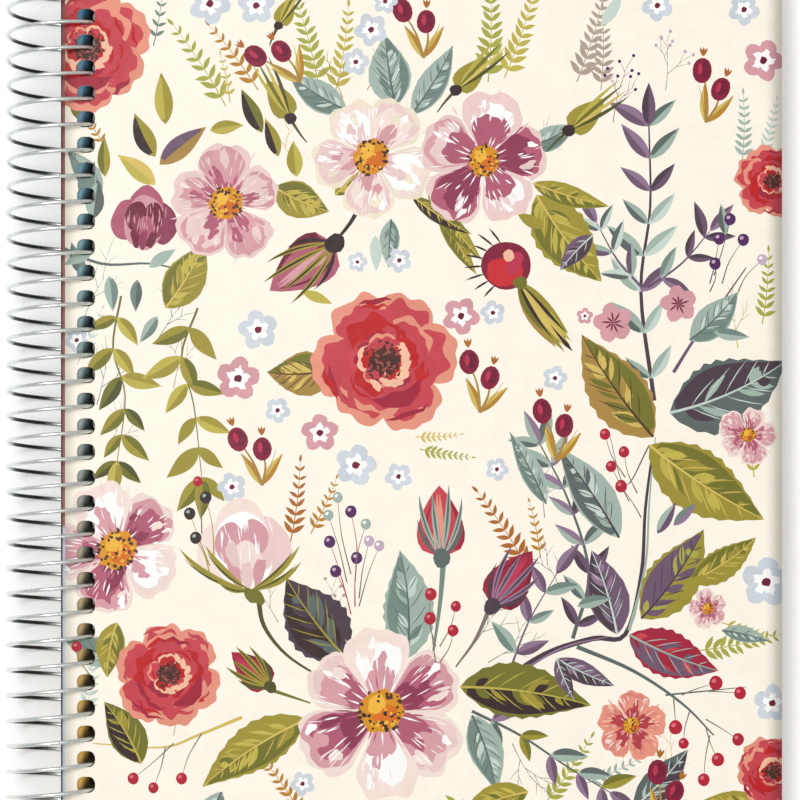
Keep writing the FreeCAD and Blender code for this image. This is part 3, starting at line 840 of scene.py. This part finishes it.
def printed_board(cover):
    """The cover board: its face is cut along every printed outline and carries the inks."""
    art = paint_cover()
    low = (COVER_LOW - COVER_MIDDLE).to_2d() / MM
    high = (COVER_HIGH - COVER_MIDDLE).to_2d() / MM
    rim = rounded_outline(low, high, cover.corner / MM, square_left=True, steps=8)
    holes = cover_holes(cover)
    outlines = [rim] + art.outlines + holes
    corners, faces = [], []
    for outline in outlines:
        faces.append(list(range(len(corners), len(corners) + len(outline))))
        corners.extend(outline)
    spots, _, triangles, _, _, sources = delaunay_2d_cdt(corners, [], faces, 1, CUT_TOLERANCE)
    first_hole = len(outlines) - len(holes)
    board = bmesh.new()
    layer = board.loops.layers.float_color.new("print")
    top = COVER_HIGH.z
    verts = [board.verts.new((s.x * MM + COVER_MIDDLE.x, s.y * MM + COVER_MIDDLE.y, top)) for s in spots]
    paper = tuple(cover.ground)
    for triangle, source in zip(triangles, sources):
        topmost = max(source, default=-1)
        if 0 not in source or topmost >= first_hole:
            continue
        if area_tri(*(spots[i] for i in triangle)) < SMALLEST_TRIANGLE:
            continue
        face = board.faces.new([verts[i] for i in triangle])
        colour = paper if topmost == 0 else art.inks[topmost - 1]
        for loop in face.loops:
            loop[layer] = (*colour, 1.0)
    bmesh.ops.delete(board, geom=[v for v in board.verts if not v.link_faces], context="VERTS")
    border = [edge for edge in board.edges if edge.is_boundary]
    walls = bmesh.ops.extrude_edge_only(board, edges=border)["geom"]
    lower = [item for item in walls if isinstance(item, bmesh.types.BMVert)]
    bmesh.ops.translate(board, verts=lower, vec=(0, 0, COVER_LOW.z - top))
    lower_edges = [item for item in walls if isinstance(item, bmesh.types.BMEdge)]
    lining = bmesh.ops.triangle_fill(
        board, edges=lower_edges, use_beauty=True, use_dissolve=False, normal=(0, 0, -1))["geom"]
    plain = [item for item in walls + lining if isinstance(item, bmesh.types.BMFace)]
    for face in plain:
        face.material_index = 1
        for loop in face.loops:
            loop[layer] = (*paper, 1.0)
    bmesh.ops.recalc_face_normals(board, faces=plain)
    return board


def coil_wire(coil):
    """The wire: a round section spun into a screw, with a hook bent at each end."""
    wire = bmesh.new()
    radius = coil.wire_diameter / 2
    middle = (COIL_LOW + COIL_HIGH) / 2
    reach = (COIL_HIGH.z - COIL_LOW.z) / 2 - radius
    axis = Vector((COIL_LOW.x + reach + radius, 0, middle.z))
    head = coil.turns * coil.pitch / 2
    slope = coil.pitch / (math.tau * reach)
    forward = Vector((-1, -slope, 0)).normalized()
    start = Vector((axis.x, head, axis.z + reach))
    section = bmesh.ops.create_circle(wire, segments=coil.section_sides, radius=radius)["verts"]
    rim = [edge for edge in wire.edges]
    place = Matrix.Translation(start) @ forward.to_track_quat("Z", "Y").to_matrix().to_4x4()
    bmesh.ops.transform(wire, matrix=place, verts=section)
    bmesh.ops.spin(
        wire, geom=section + rim, cent=axis, axis=(0, -1, 0), dvec=(0, -coil.pitch / coil.turn_steps, 0),
        angle=math.tau, steps=coil.turn_steps, use_merge=False)
    bmesh.ops.spin(
        wire, geom=wire.verts[:] + wire.edges[:] + wire.faces[:], cent=axis, axis=(0, -1, 0),
        dvec=(0, -coil.pitch, 0), angle=0.0, steps=coil.turns - 1, use_duplicate=True, use_merge=False)
    bmesh.ops.remove_doubles(wire, verts=wire.verts[:], dist=WELD)
    finish = Vector((axis.x, -head, axis.z + reach))
    open_edges = [edge for edge in wire.edges if edge.is_boundary]
    for point, outwards in ((start, -forward), (finish, forward)):
        edges = [edge for edge in open_edges if (edge.verts[0].co - point).length < coil.wire_diameter]
        bend_hook(wire, edges, point, outwards, coil)
    bmesh.ops.recalc_face_normals(wire, faces=wire.faces)
    for face in wire.faces:
        face.smooth = True
    return wire


def bend_hook(wire, rim, point, outwards, coil):
    """Bends the wire's end down towards the coil's axis and closes it with a rounded tip."""
    down = Vector((0, 0, -1))
    pivot = point + down * coil.hook_bend
    verts = list({vert for edge in rim for vert in edge.verts})
    bent = bmesh.ops.spin(
        wire, geom=verts + rim, cent=pivot, axis=outwards.cross(down), angle=math.pi / 2, steps=6,
        use_merge=False)["geom_last"]
    rim = [item for item in bent if isinstance(item, bmesh.types.BMEdge)]
    middle = point + outwards * coil.hook_bend + down * coil.hook_bend
    straight = coil.hook_length - sum(drop for drop, _ in TIP_RINGS)
    for drop, share in ((straight, 1.0), *TIP_RINGS):
        grown = bmesh.ops.extrude_edge_only(wire, edges=rim)["geom"]
        verts = [item for item in grown if isinstance(item, bmesh.types.BMVert)]
        rim = [item for item in grown if isinstance(item, bmesh.types.BMEdge)]
        rim = [edge for edge in rim if all(vert in verts for vert in edge.verts)]
        bmesh.ops.translate(wire, verts=verts, vec=down * drop)
        bmesh.ops.scale(
            wire, verts=verts, vec=(share, share, 1), space=Matrix.Translation(-middle))
    bmesh.ops.contextual_create(wire, geom=rim)


def piece_from(name, shape, *finishes):
    """Makes a scene object of a finished bmesh."""
    mesh = bpy.data.meshes.new(name)
    shape.to_mesh(mesh)
    shape.free()
    for finish in finishes:
        mesh.materials.append(finish)
    piece = bpy.data.objects.new(name, mesh)
    bpy.context.scene.collection.objects.link(piece)
    return piece


def dress(node, finish):
    """Gives a carried-over node its finish."""
    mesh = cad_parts[node].data
    if not mesh.materials:
        mesh.materials.append(finish)
    for index in range(len(mesh.materials)):
        mesh.materials[index] = finish


# ---- Finishes ----

class Finish:
    """A node material in the making, with its shader and the nodes that lead into it."""

    def __init__(self, name, **constants):
        self.material = bpy.data.materials.new(name)
        self.material.use_nodes = True
        self.tree = self.material.node_tree
        self.shader = self.tree.nodes["Principled BSDF"]
        for socket, value in constants.items():
            self.shader.inputs[socket.replace("_", " ")].default_value = value
        self.place = self.node("ShaderNodeTexCoord").outputs["Object"]

    def node(self, kind, **settings):
        """Adds a node and sets its own settings."""
        made = self.tree.nodes.new(kind)
        for name, value in settings.items():
            setattr(made, name, value)
        return made

    def join(self, source, target):
        """Links an output to an input, or sets the input to a plain value."""
        if isinstance(source, bpy.types.NodeSocket):
            self.tree.links.new(source, target)
        else:
            target.default_value = source

    def sums(self, operation, *values, clamp=False):
        """A maths node on sockets or numbers."""
        made = self.node("ShaderNodeMath", operation=operation, use_clamp=clamp)
        for value, target in zip(values, made.inputs):
            self.join(value, target)
        return made.outputs[0]

    def product(self, first, *others):
        """Multiplies sockets or numbers."""
        for value in others:
            first = self.sums("MULTIPLY", first, value)
        return first

    def speckle(self, scale, detail=3.0, rough=0.55, stretch=None):
        """Noise on the object's own coordinates, from 0 to 1."""
        made = self.node("ShaderNodeTexNoise")
        place = self.place
        if stretch:
            mapping = self.node("ShaderNodeMapping")
            self.join(self.place, mapping.inputs["Vector"])
            mapping.inputs["Scale"].default_value = stretch
            place = mapping.outputs[0]
        self.join(place, made.inputs["Vector"])
        made.inputs["Scale"].default_value = scale
        made.inputs["Detail"].default_value = detail
        made.inputs["Roughness"].default_value = rough
        return made.outputs["Fac"]

    def span(self, value, low, high, start, end, smooth=True):
        """Maps value from low..high to start..end."""
        made = self.node("ShaderNodeMapRange", interpolation_type="SMOOTHSTEP" if smooth else "LINEAR")
        for source, name in (
                (value, "Value"), (low, "From Min"), (high, "From Max"), (start, "To Min"), (end, "To Max")):
            self.join(source, made.inputs[name])
        return made.outputs["Result"]

    def mottle(self, low, high, *speckle):
        """Noise with its usual spread, 0.3 to 0.7, mapped to low..high."""
        return self.span(self.speckle(*speckle), 0.3, 0.7, low, high)

    def blend(self, share, first, second, mode="MIX"):
        """Mixes two colours."""
        made = self.node("ShaderNodeMix", data_type="RGBA", blend_type=mode)
        self.join(share, made.inputs["Factor"])
        for value, target in ((first, made.inputs["A"]), (second, made.inputs["B"])):
            self.join(value if isinstance(value, bpy.types.NodeSocket) else (*value[:3], 1.0), target)
        return made.outputs["Result"]

    def shaded(self, colour, tone):
        """Multiplies a colour by one brightness."""
        shade = self.node("ShaderNodeCombineColor")
        for target in shade.inputs:
            self.join(tone, target)
        return self.blend(1.0, colour, shade.outputs[0], "MULTIPLY")

    def axes(self):
        """The object's X, Y and Z."""
        made = self.node("ShaderNodeSeparateXYZ")
        self.join(self.place, made.inputs[0])
        return made.outputs

    def set_colour(self, colour):
        self.join(colour, self.shader.inputs["Base Color"])

    def set_roughness(self, value):
        self.join(value, self.shader.inputs["Roughness"])

    def relief(self, height, distance, strength=1.0):
        """Raises the surface by height times distance."""
        made = self.node("ShaderNodeBump")
        made.inputs["Strength"].default_value = strength
        made.inputs["Distance"].default_value = distance
        self.join(height, made.inputs["Height"])
        self.join(made.outputs[0], self.shader.inputs["Normal"])


def printed_laminate():
    """Printed card under a thin satin coat, with painted shade darkening it towards the spine and fore
    edges, where a rolled-over board edge would be shaded.
    """
    finish = Finish(
        "Printed laminate", Coat_Weight=0.05, Coat_Roughness=0.3, IOR=1.46, Specular_IOR_Level=0.15)
    printed = finish.node("ShaderNodeAttribute", attribute_name="print").outputs["Color"]
    wash = finish.mottle(0.975, 1.02, 160, 4, 0.6)
    grain = finish.mottle(0.975, 1.02, 2600, 2)
    x, *_ = finish.axes()
    # Painted shade: the print darkens over the first 3.2 mm from the spine edge and the last 4.4 mm before
    # the fore edge.
    spine = finish.span(x, COVER_LOW.x, COVER_LOW.x + 3.2 * MM, 0.7, 1.0)
    fore = finish.span(x, COVER_HIGH.x - 4.4 * MM, COVER_HIGH.x, 1.0, 0.5)
    tone = finish.product(wash, grain, finish.product(spine, fore), PRINT_TONE)
    finish.set_colour(finish.shaded(printed, tone))
    finish.set_roughness(finish.mottle(0.4, 0.52, 420, 3))
    finish.relief(finish.speckle(1800, 4, 0.6), 0.012 * MM, 0.6)
    return finish.material


def card_edge(cover):
    """Cut card and the plain lining inside the covers."""
    finish = Finish("Card edge", Specular_IOR_Level=0.25)
    layers = finish.mottle(0.0, 1.0, 900, 3, 0.6, (0.2, 0.2, 6.0))
    finish.set_colour(finish.blend(layers, ink("EDE4D6"), cover.lining))
    finish.set_roughness(finish.mottle(0.62, 0.78, 300))
    finish.relief(finish.speckle(2400, 4), 0.01 * MM, 0.5)
    return finish.material


def drawn_steel(coil):
    """Bright drawn wire, with painted shade darkening the underside of each turn, strongest on the coil's
    outer side.
    """
    finish = Finish("Drawn steel wire", Metallic=1.0, IOR=2.5)
    x, _, z = finish.axes()
    middle = (COIL_LOW.z + COIL_HIGH.z) / 2
    # Painted shade: below the coil's middle the steel blends towards the dark colour, most at the coil's
    # outer side.
    under = finish.span(z, middle - 1.2 * MM, middle - 4.5 * MM, 0.0, 1.0)
    outer = finish.span(x, COIL_LOW.x + 6 * MM, COIL_LOW.x + 14 * MM, 1.0, 0.25)
    painted_shade = finish.product(under, outer)
    draw = finish.mottle(0.9, 1.06, 900, 3, 0.6, (1.0, 7.0, 1.0))
    steel = finish.blend(painted_shade, coil.steel, coil.painted_shade)
    finish.set_colour(finish.shaded(steel, draw))
    finish.set_roughness(finish.mottle(0.24, 0.36, 700, 3))
    finish.relief(finish.speckle(3000, 2, 0.5, (1.0, 6.0, 1.0)), 0.004 * MM, 0.5)
    return finish.material


def bound_edge(finish, paper, sheets):
    """A sheet's colour with the band that is printed along its bound edge, teal to ochre, darkened to
    near-black by painted shadow towards the lower right of each binding hole.
    """
    x, y, _ = finish.axes()
    band = finish.node("ShaderNodeValToRGB")
    finish.join(finish.span(y, COVER_LOW.y, COVER_HIGH.y, 1.0, 0.0, smooth=False), band.inputs["Fac"])
    stops = (
        (0.06, sheets.band_head), (0.34, sheets.band_middle), (0.6, sheets.band_low),
        (0.86, sheets.band_tail))
    for _ in stops[2:]:
        band.color_ramp.elements.new(0.5)
    for stop, (place, colour) in zip(band.color_ramp.elements, stops):
        stop.position = place
        stop.color = (*colour, 1.0)
    across = finish.sums("SUBTRACT", x, COVER_LOW.x + HOLE_INSET)
    along = finish.sums(
        "FLOORED_MODULO", finish.sums("ADD", y, HOLE_PITCH / 2 - HOLE_ROW_SHIFT), HOLE_PITCH)
    along = finish.sums("SUBTRACT", along, HOLE_PITCH / 2)
    # Painted shadow: the band darkens to near-black to the lower right of each binding hole's place.
    shadow_slope = finish.sums("SUBTRACT", across, finish.product(along, 0.8))
    band_with_painted_shadow = finish.blend(
        finish.span(shadow_slope, -2.1 * MM, 0.3 * MM, 0.0, 0.92), band.outputs["Color"], ink("0E1112"))
    near = finish.product(
        finish.sums("LESS_THAN", x, COVER_LOW.x + BAND_WIDTH),
        finish.sums("LESS_THAN", finish.sums("ABSOLUTE", y), BAND_REACH))
    return finish.blend(near, paper, band_with_painted_shadow)


def line_grid(finish, value, spacing, thickness):
    """1 on thin lines at even steps of value."""
    place = finish.sums("FLOORED_MODULO", value, spacing)
    return finish.sums("LESS_THAN", place, thickness)


def leaf_paper(name, sheets, column, row, tint=None):
    """Writing paper with a printed grid of columns and rows under a tinted head band."""
    finish = Finish(name, Specular_IOR_Level=0.2)
    x, y, _ = finish.axes()
    paper = finish.blend(
        finish.mottle(0.0, 1.0, 1500, 4, 0.65), sheets.paper, ink("F3EDE0"))
    lines = finish.sums(
        "MAXIMUM", line_grid(finish, x, column, 0.25 * MM), line_grid(finish, y, row, 0.2 * MM))
    inside = finish.product(
        finish.sums("GREATER_THAN", x, COVER_LOW.x + SPINE_MARGIN),
        finish.sums("LESS_THAN", finish.sums("ABSOLUTE", y), RULED_REACH),
        finish.sums("LESS_THAN", x, COVER_HIGH.x - FORE_MARGIN))
    ruled = finish.blend(finish.product(lines, inside, 0.65), paper, sheets.ruling)
    head = finish.product(finish.sums("GREATER_THAN", y, HEAD_BAND_FOOT), inside)
    banded = finish.blend(finish.product(head, 0.75), ruled, tint or sheets.ruling)
    finish.set_colour(bound_edge(finish, banded, sheets))
    finish.set_roughness(finish.mottle(0.7, 0.85, 500))
    finish.relief(finish.speckle(2600, 5, 0.7), 0.01 * MM, 0.5)
    return finish.material


def title_card(sheets):
    """Tinted card: brick along its spine edge at the head, blue-grey towards the tail."""
    finish = Finish("Title card", Specular_IOR_Level=0.3)
    x, y, _ = finish.axes()
    brick = finish.blend(finish.span(y, 0.0, 0.11, 0.0, 1.0), sheets.strip_middle, sheets.strip_head)
    strip = finish.blend(finish.span(y, -33 * MM, -31.5 * MM, 0.0, 1.0), sheets.strip_tail, brick)
    edge = finish.blend(
        finish.span(x, COVER_LOW.x - 0.75 * MM, COVER_LOW.x - 0.6 * MM, 1.0, 0.0), strip, ink("3A2524"))
    inner = finish.blend(finish.sums("LESS_THAN", x, COVER_LOW.x + STRIP_REACH), sheets.paper, edge)
    wash = finish.mottle(0.0, 0.12, 220, 4)
    shaded = finish.blend(wash, inner, ink("7C6A60"))
    near = finish.sums("GREATER_THAN", x, COVER_LOW.x + STRIP_REACH)
    finish.set_colour(finish.blend(near, shaded, bound_edge(finish, sheets.paper, sheets)))
    finish.set_roughness(finish.mottle(0.5, 0.66, 400))
    finish.relief(finish.speckle(2200, 4), 0.01 * MM, 0.5)
    return finish.material


def back_laminate(cover):
    """The back cover: the cream ground with a scatter of small sage and rose flecks."""
    finish = Finish(
        "Back cover laminate", Coat_Weight=0.18, Coat_Roughness=0.22, IOR=1.46, Specular_IOR_Level=0.35)
    cells = finish.node("ShaderNodeTexVoronoi", feature="F1")
    finish.join(finish.place, cells.inputs["Vector"])
    cells.inputs["Scale"].default_value = 110
    fleck = finish.span(cells.outputs["Distance"], 0.16, 0.2, 1.0, 0.0)
    pick = finish.node("ShaderNodeSeparateColor")
    finish.join(cells.outputs["Color"], pick.inputs[0])
    hue = finish.blend(finish.sums("GREATER_THAN", pick.outputs[0], 0.55), INKS["sage"], INKS["dusty pink"])
    finish.set_colour(finish.blend(fleck, cover.ground, hue))
    finish.set_roughness(finish.mottle(0.4, 0.52, 420, 3))
    finish.relief(finish.speckle(1800, 4, 0.6), 0.012 * MM, 0.6)
    return finish.material


def studio_floor(studio):
    """Plain matt white floor."""
    finish = Finish("Studio floor", Specular_IOR_Level=0.0)
    finish.set_colour(finish.blend(
        finish.mottle(0.0, 1.0, 6, 2), studio.floor, tuple(c * 0.995 for c in studio.floor)))
    finish.set_roughness(0.9)
    return finish.material


# ---- Settings ----

def length(name, description, value):
    """A length setting."""
    return bpy.props.FloatProperty(
        name=name, description=description, default=value, min=0.0, subtype="DISTANCE", unit="LENGTH",
        precision=5)


def colour(name, description, value):
    """A colour setting."""
    return bpy.props.FloatVectorProperty(
        name=name, description=description, default=value, size=3, min=0.0, max=1.0, subtype="COLOR")


class CalendarCoverSettings(bpy.types.PropertyGroup):
    """Sizes and colours of the covers."""

    corner: length("Corner radius", "Radius of the two fore-edge corners", 5.0 * MM)
    hole_width: length("Hole width", "Width of a binding hole across the spine", 4.5 * MM)
    hole_height: length("Hole height", "Height of a binding hole along the spine", 4.0 * MM)
    hole_corner: length("Hole corner", "Corner radius of a binding hole", 1.6 * MM)
    hole_inset: length("Hole inset", "Spine edge to the middle of the holes", HOLE_INSET)
    hole_pitch: length("Hole pitch", "Distance between neighbouring holes", HOLE_PITCH)
    hole_count: bpy.props.IntProperty(
        name="Holes", description="Number of binding holes", default=35, min=1)
    row_shift: bpy.props.FloatProperty(
        name="Row shift", description="Middle of the hole row along the spine", default=HOLE_ROW_SHIFT,
        subtype="DISTANCE", unit="LENGTH", precision=5)
    ground: colour("Ground", "Colour of the unprinted laminate", ink("FDF5E6"))
    lining: colour("Lining", "Colour of the inside of the covers", ink("F6F1E8"))


class CalendarCoilSettings(bpy.types.PropertyGroup):
    """Sizes and colours of the coil."""

    wire_diameter: length("Wire diameter", "Thickness of the wire", 0.95 * MM)
    pitch: length("Pitch", "Distance between neighbouring turns", HOLE_PITCH)
    turns: bpy.props.IntProperty(name="Turns", description="Number of turns", default=35, min=1)
    turn_steps: bpy.props.IntProperty(
        name="Steps per turn", description="Faces round one turn", default=60, min=12)
    section_sides: bpy.props.IntProperty(
        name="Section sides", description="Faces round the wire", default=16, min=6)
    hook_bend: length("Hook bend", "Radius of the bend at each end", 1.0 * MM)
    hook_length: length("Hook length", "Straight wire after the bend", 0.8 * MM)
    steel: colour("Steel", "Colour of the bright wire", ink("DDE2DE"))
    # The dark colour of the painted shade under each turn of the wire.
    painted_shade: colour("Film", "Colour of the dark film under each turn", ink("55595A"))


class CalendarSheetSettings(bpy.types.PropertyGroup):
    """Colours of the title sheet and the leaves."""

    paper: colour("Paper", "Colour of the leaves", ink("F8F4EA"))
    ruling: colour("Ruling", "Colour of the printed grid", ink("A9B6B8"))
    band_head: colour("Band, head", "Bound-edge band at the head", ink("2F6482"))
    band_middle: colour("Band, middle", "Bound-edge band above the middle", ink("6E929A"))
    band_low: colour("Band, low", "Bound-edge band below the middle", ink("8B918A"))
    band_tail: colour("Band, tail", "Bound-edge band at the tail", ink("B9913C"))
    strip_head: colour("Strip, head", "Title sheet's spine strip at the head", ink("7A3A33"))
    strip_middle: colour("Strip, middle", "Title sheet's spine strip at mid height", ink("8E5648"))
    strip_tail: colour("Strip, tail", "Title sheet's spine strip at the tail", ink("A9BAC6"))


class CalendarStudioSettings(bpy.types.PropertyGroup):
    """Floor, lights and camera."""

    floor: colour("Floor", "Colour of the floor", ink("FCFCFC"))
    sky: bpy.props.FloatProperty(
        name="Surround", description="Brightness of the surround", default=0.585, min=0.0)
    softbox: bpy.props.FloatProperty(
        name="Softbox", description="Power of the overhead softbox", default=4.1, min=0.0, unit="POWER")
    key: bpy.props.FloatProperty(
        name="Key light", description="Power of the key light", default=7.7, min=0.0, unit="POWER")
    lens: bpy.props.FloatProperty(
        name="Lens", description="Focal length of the camera", default=137.0, min=1.0,
        subtype="DISTANCE_CAMERA")
    height: length("Camera height", "Camera above the cover", 755 * MM)


# ---- Operators ----

class CALENDAR_OT_front_cover(bpy.types.Operator):
    """Makes the front cover board with its printed flowers"""

    bl_idname = "calendar.front_cover"
    bl_label = "Front cover"

    def execute(self, context):
        cover = context.scene.calendar_cover
        board = piece_from(
            "front_cover_board", printed_board(cover), printed_laminate(), card_edge(cover))
        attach(board, "front")
        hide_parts("front_cover")
        return {"FINISHED"}


class CALENDAR_OT_spiral_coil(bpy.types.Operator):
    """Winds the steel coil"""

    bl_idname = "calendar.spiral_coil"
    bl_label = "Spiral coil"

    def execute(self, context):
        coil = context.scene.calendar_coil
        wire = piece_from("coil_wire", coil_wire(coil), drawn_steel(coil))
        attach(wire, "front")
        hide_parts("spiral_coil")
        return {"FINISHED"}


class CALENDAR_OT_title_sheet(bpy.types.Operator):
    """Prints the title sheet"""

    bl_idname = "calendar.title_sheet"
    bl_label = "Title sheet"

    def execute(self, context):
        dress("title_sheet", title_card(context.scene.calendar_sheets))
        return {"FINISHED"}


class CALENDAR_OT_leaves(bpy.types.Operator):
    """Rules the year, month, week and notes leaves"""

    bl_idname = "calendar.leaves"
    bl_label = "Leaves"

    def execute(self, context):
        sheets = context.scene.calendar_sheets
        tints = (
            "sky", "plum light", "sage", "lime", "dusty pink", "salmon", "rose red", "mustard", "rust",
            "crimson", "plum", "slate")
        dress("year_leaf", leaf_paper("Year leaf paper", sheets, 42 * MM, 50 * MM))
        dress("notes_leaves", leaf_paper("Notes leaf paper", sheets, 300 * MM, 7 * MM))
        week = leaf_paper("Week leaf paper", sheets, 76 * MM, 26 * MM)
        for month, tint in enumerate(tints, start=1):
            finish = leaf_paper(f"Month leaf paper {month:02d}", sheets, 22 * MM, 36 * MM, INKS[tint])
            dress(f"month_leaf_{month:02d}", finish)
            dress(f"week_leaves_{month:02d}", week)
        return {"FINISHED"}


class CALENDAR_OT_back_cover(bpy.types.Operator):
    """Prints the back cover"""

    bl_idname = "calendar.back_cover"
    bl_label = "Back cover"

    def execute(self, context):
        dress("back_cover", back_laminate(context.scene.calendar_cover))
        return {"FINISHED"}


class CALENDAR_OT_studio(bpy.types.Operator):
    """Sets up the floor, the soft lights and the camera"""

    bl_idname = "calendar.studio"
    bl_label = "Studio"

    def execute(self, context):
        scene = context.scene
        studio = scene.calendar_studio
        ground = bmesh.new()
        bmesh.ops.create_grid(ground, x_segments=4, y_segments=4, size=3.0)
        piece_from("studio_floor", ground, studio_floor(studio))
        world = bpy.data.worlds.new("Studio surround")
        world.use_nodes = True
        surround = world.node_tree.nodes["Background"].inputs
        surround["Color"].default_value = (1.0, 1.0, 1.0, 1.0)
        surround["Strength"].default_value = studio.sky
        scene.world = world
        scene.view_settings.view_transform = "Standard"
        for name, power, place, size in (
                ("softbox", studio.softbox, (0.05, -0.05, 1.35), 1.3),
                ("key_light", studio.key, (-0.28, 0.16, 1.3), 0.34)):
            light = bpy.data.lights.new(name, "AREA")
            light.energy = power
            light.size = size
            lamp = bpy.data.objects.new(name, light)
            lamp.location = place
            lamp.rotation_euler = (-Vector(place)).to_track_quat("-Z", "Y").to_euler()
            scene.collection.objects.link(lamp)
        camera = bpy.data.cameras.new("camera")
        camera.lens = studio.lens
        camera.sensor_width = SENSOR_WIDTH
        camera.shift_y = CAMERA_SHIFT
        camera.clip_start = 0.01
        viewer = bpy.data.objects.new("camera", camera)
        viewer.location = (*CAMERA_PLACE, COVER_HIGH.z + studio.height)
        scene.collection.objects.link(viewer)
        scene.camera = viewer
        return {"FINISHED"}


class CALENDAR_PT_panel(bpy.types.Panel):
    """The calendar book's panel"""

    bl_idname = "CALENDAR_PT_panel"
    bl_label = "Calendar Book"
    bl_space_type = "VIEW_3D"
    bl_region_type = "UI"
    bl_category = "Calendar Book"

    def draw(self, context):
        for settings, operators in PANEL_ROWS:
            box = self.layout.box()
            group = getattr(context.scene, settings)
            for name in group.__annotations__:
                box.prop(group, name)
            for operator in operators:
                box.operator(operator.bl_idname)


PANEL_ROWS = (
    ("calendar_cover", (CALENDAR_OT_front_cover, CALENDAR_OT_back_cover)),
    ("calendar_coil", (CALENDAR_OT_spiral_coil,)),
    ("calendar_sheets", (CALENDAR_OT_title_sheet, CALENDAR_OT_leaves)),
    ("calendar_studio", (CALENDAR_OT_studio,)),
)
SETTINGS = {
    "calendar_cover": CalendarCoverSettings,
    "calendar_coil": CalendarCoilSettings,
    "calendar_sheets": CalendarSheetSettings,
    "calendar_studio": CalendarStudioSettings,
}
CLASSES = (
    *SETTINGS.values(), CALENDAR_OT_front_cover, CALENDAR_OT_spiral_coil, CALENDAR_OT_title_sheet,
    CALENDAR_OT_leaves, CALENDAR_OT_back_cover, CALENDAR_OT_studio, CALENDAR_PT_panel,
)


def register():
    """Adds the classes and the scene's settings."""
    for kind in CLASSES:
        bpy.utils.register_class(kind)
    for name, kind in SETTINGS.items():
        setattr(bpy.types.Scene, name, bpy.props.PointerProperty(type=kind))


def unregister():
    """Removes the settings and the classes."""
    for name in SETTINGS:
        delattr(bpy.types.Scene, name)
    for kind in reversed(CLASSES):
        bpy.utils.unregister_class(kind)


def main():
    """Makes every piece in order."""
    register()
    bpy.ops.calendar.studio()
    bpy.ops.calendar.back_cover()
    bpy.ops.calendar.leaves()
    bpy.ops.calendar.title_sheet()
    bpy.ops.calendar.front_cover()
    bpy.ops.calendar.spiral_coil()


if __name__ == "__main__":
    main()
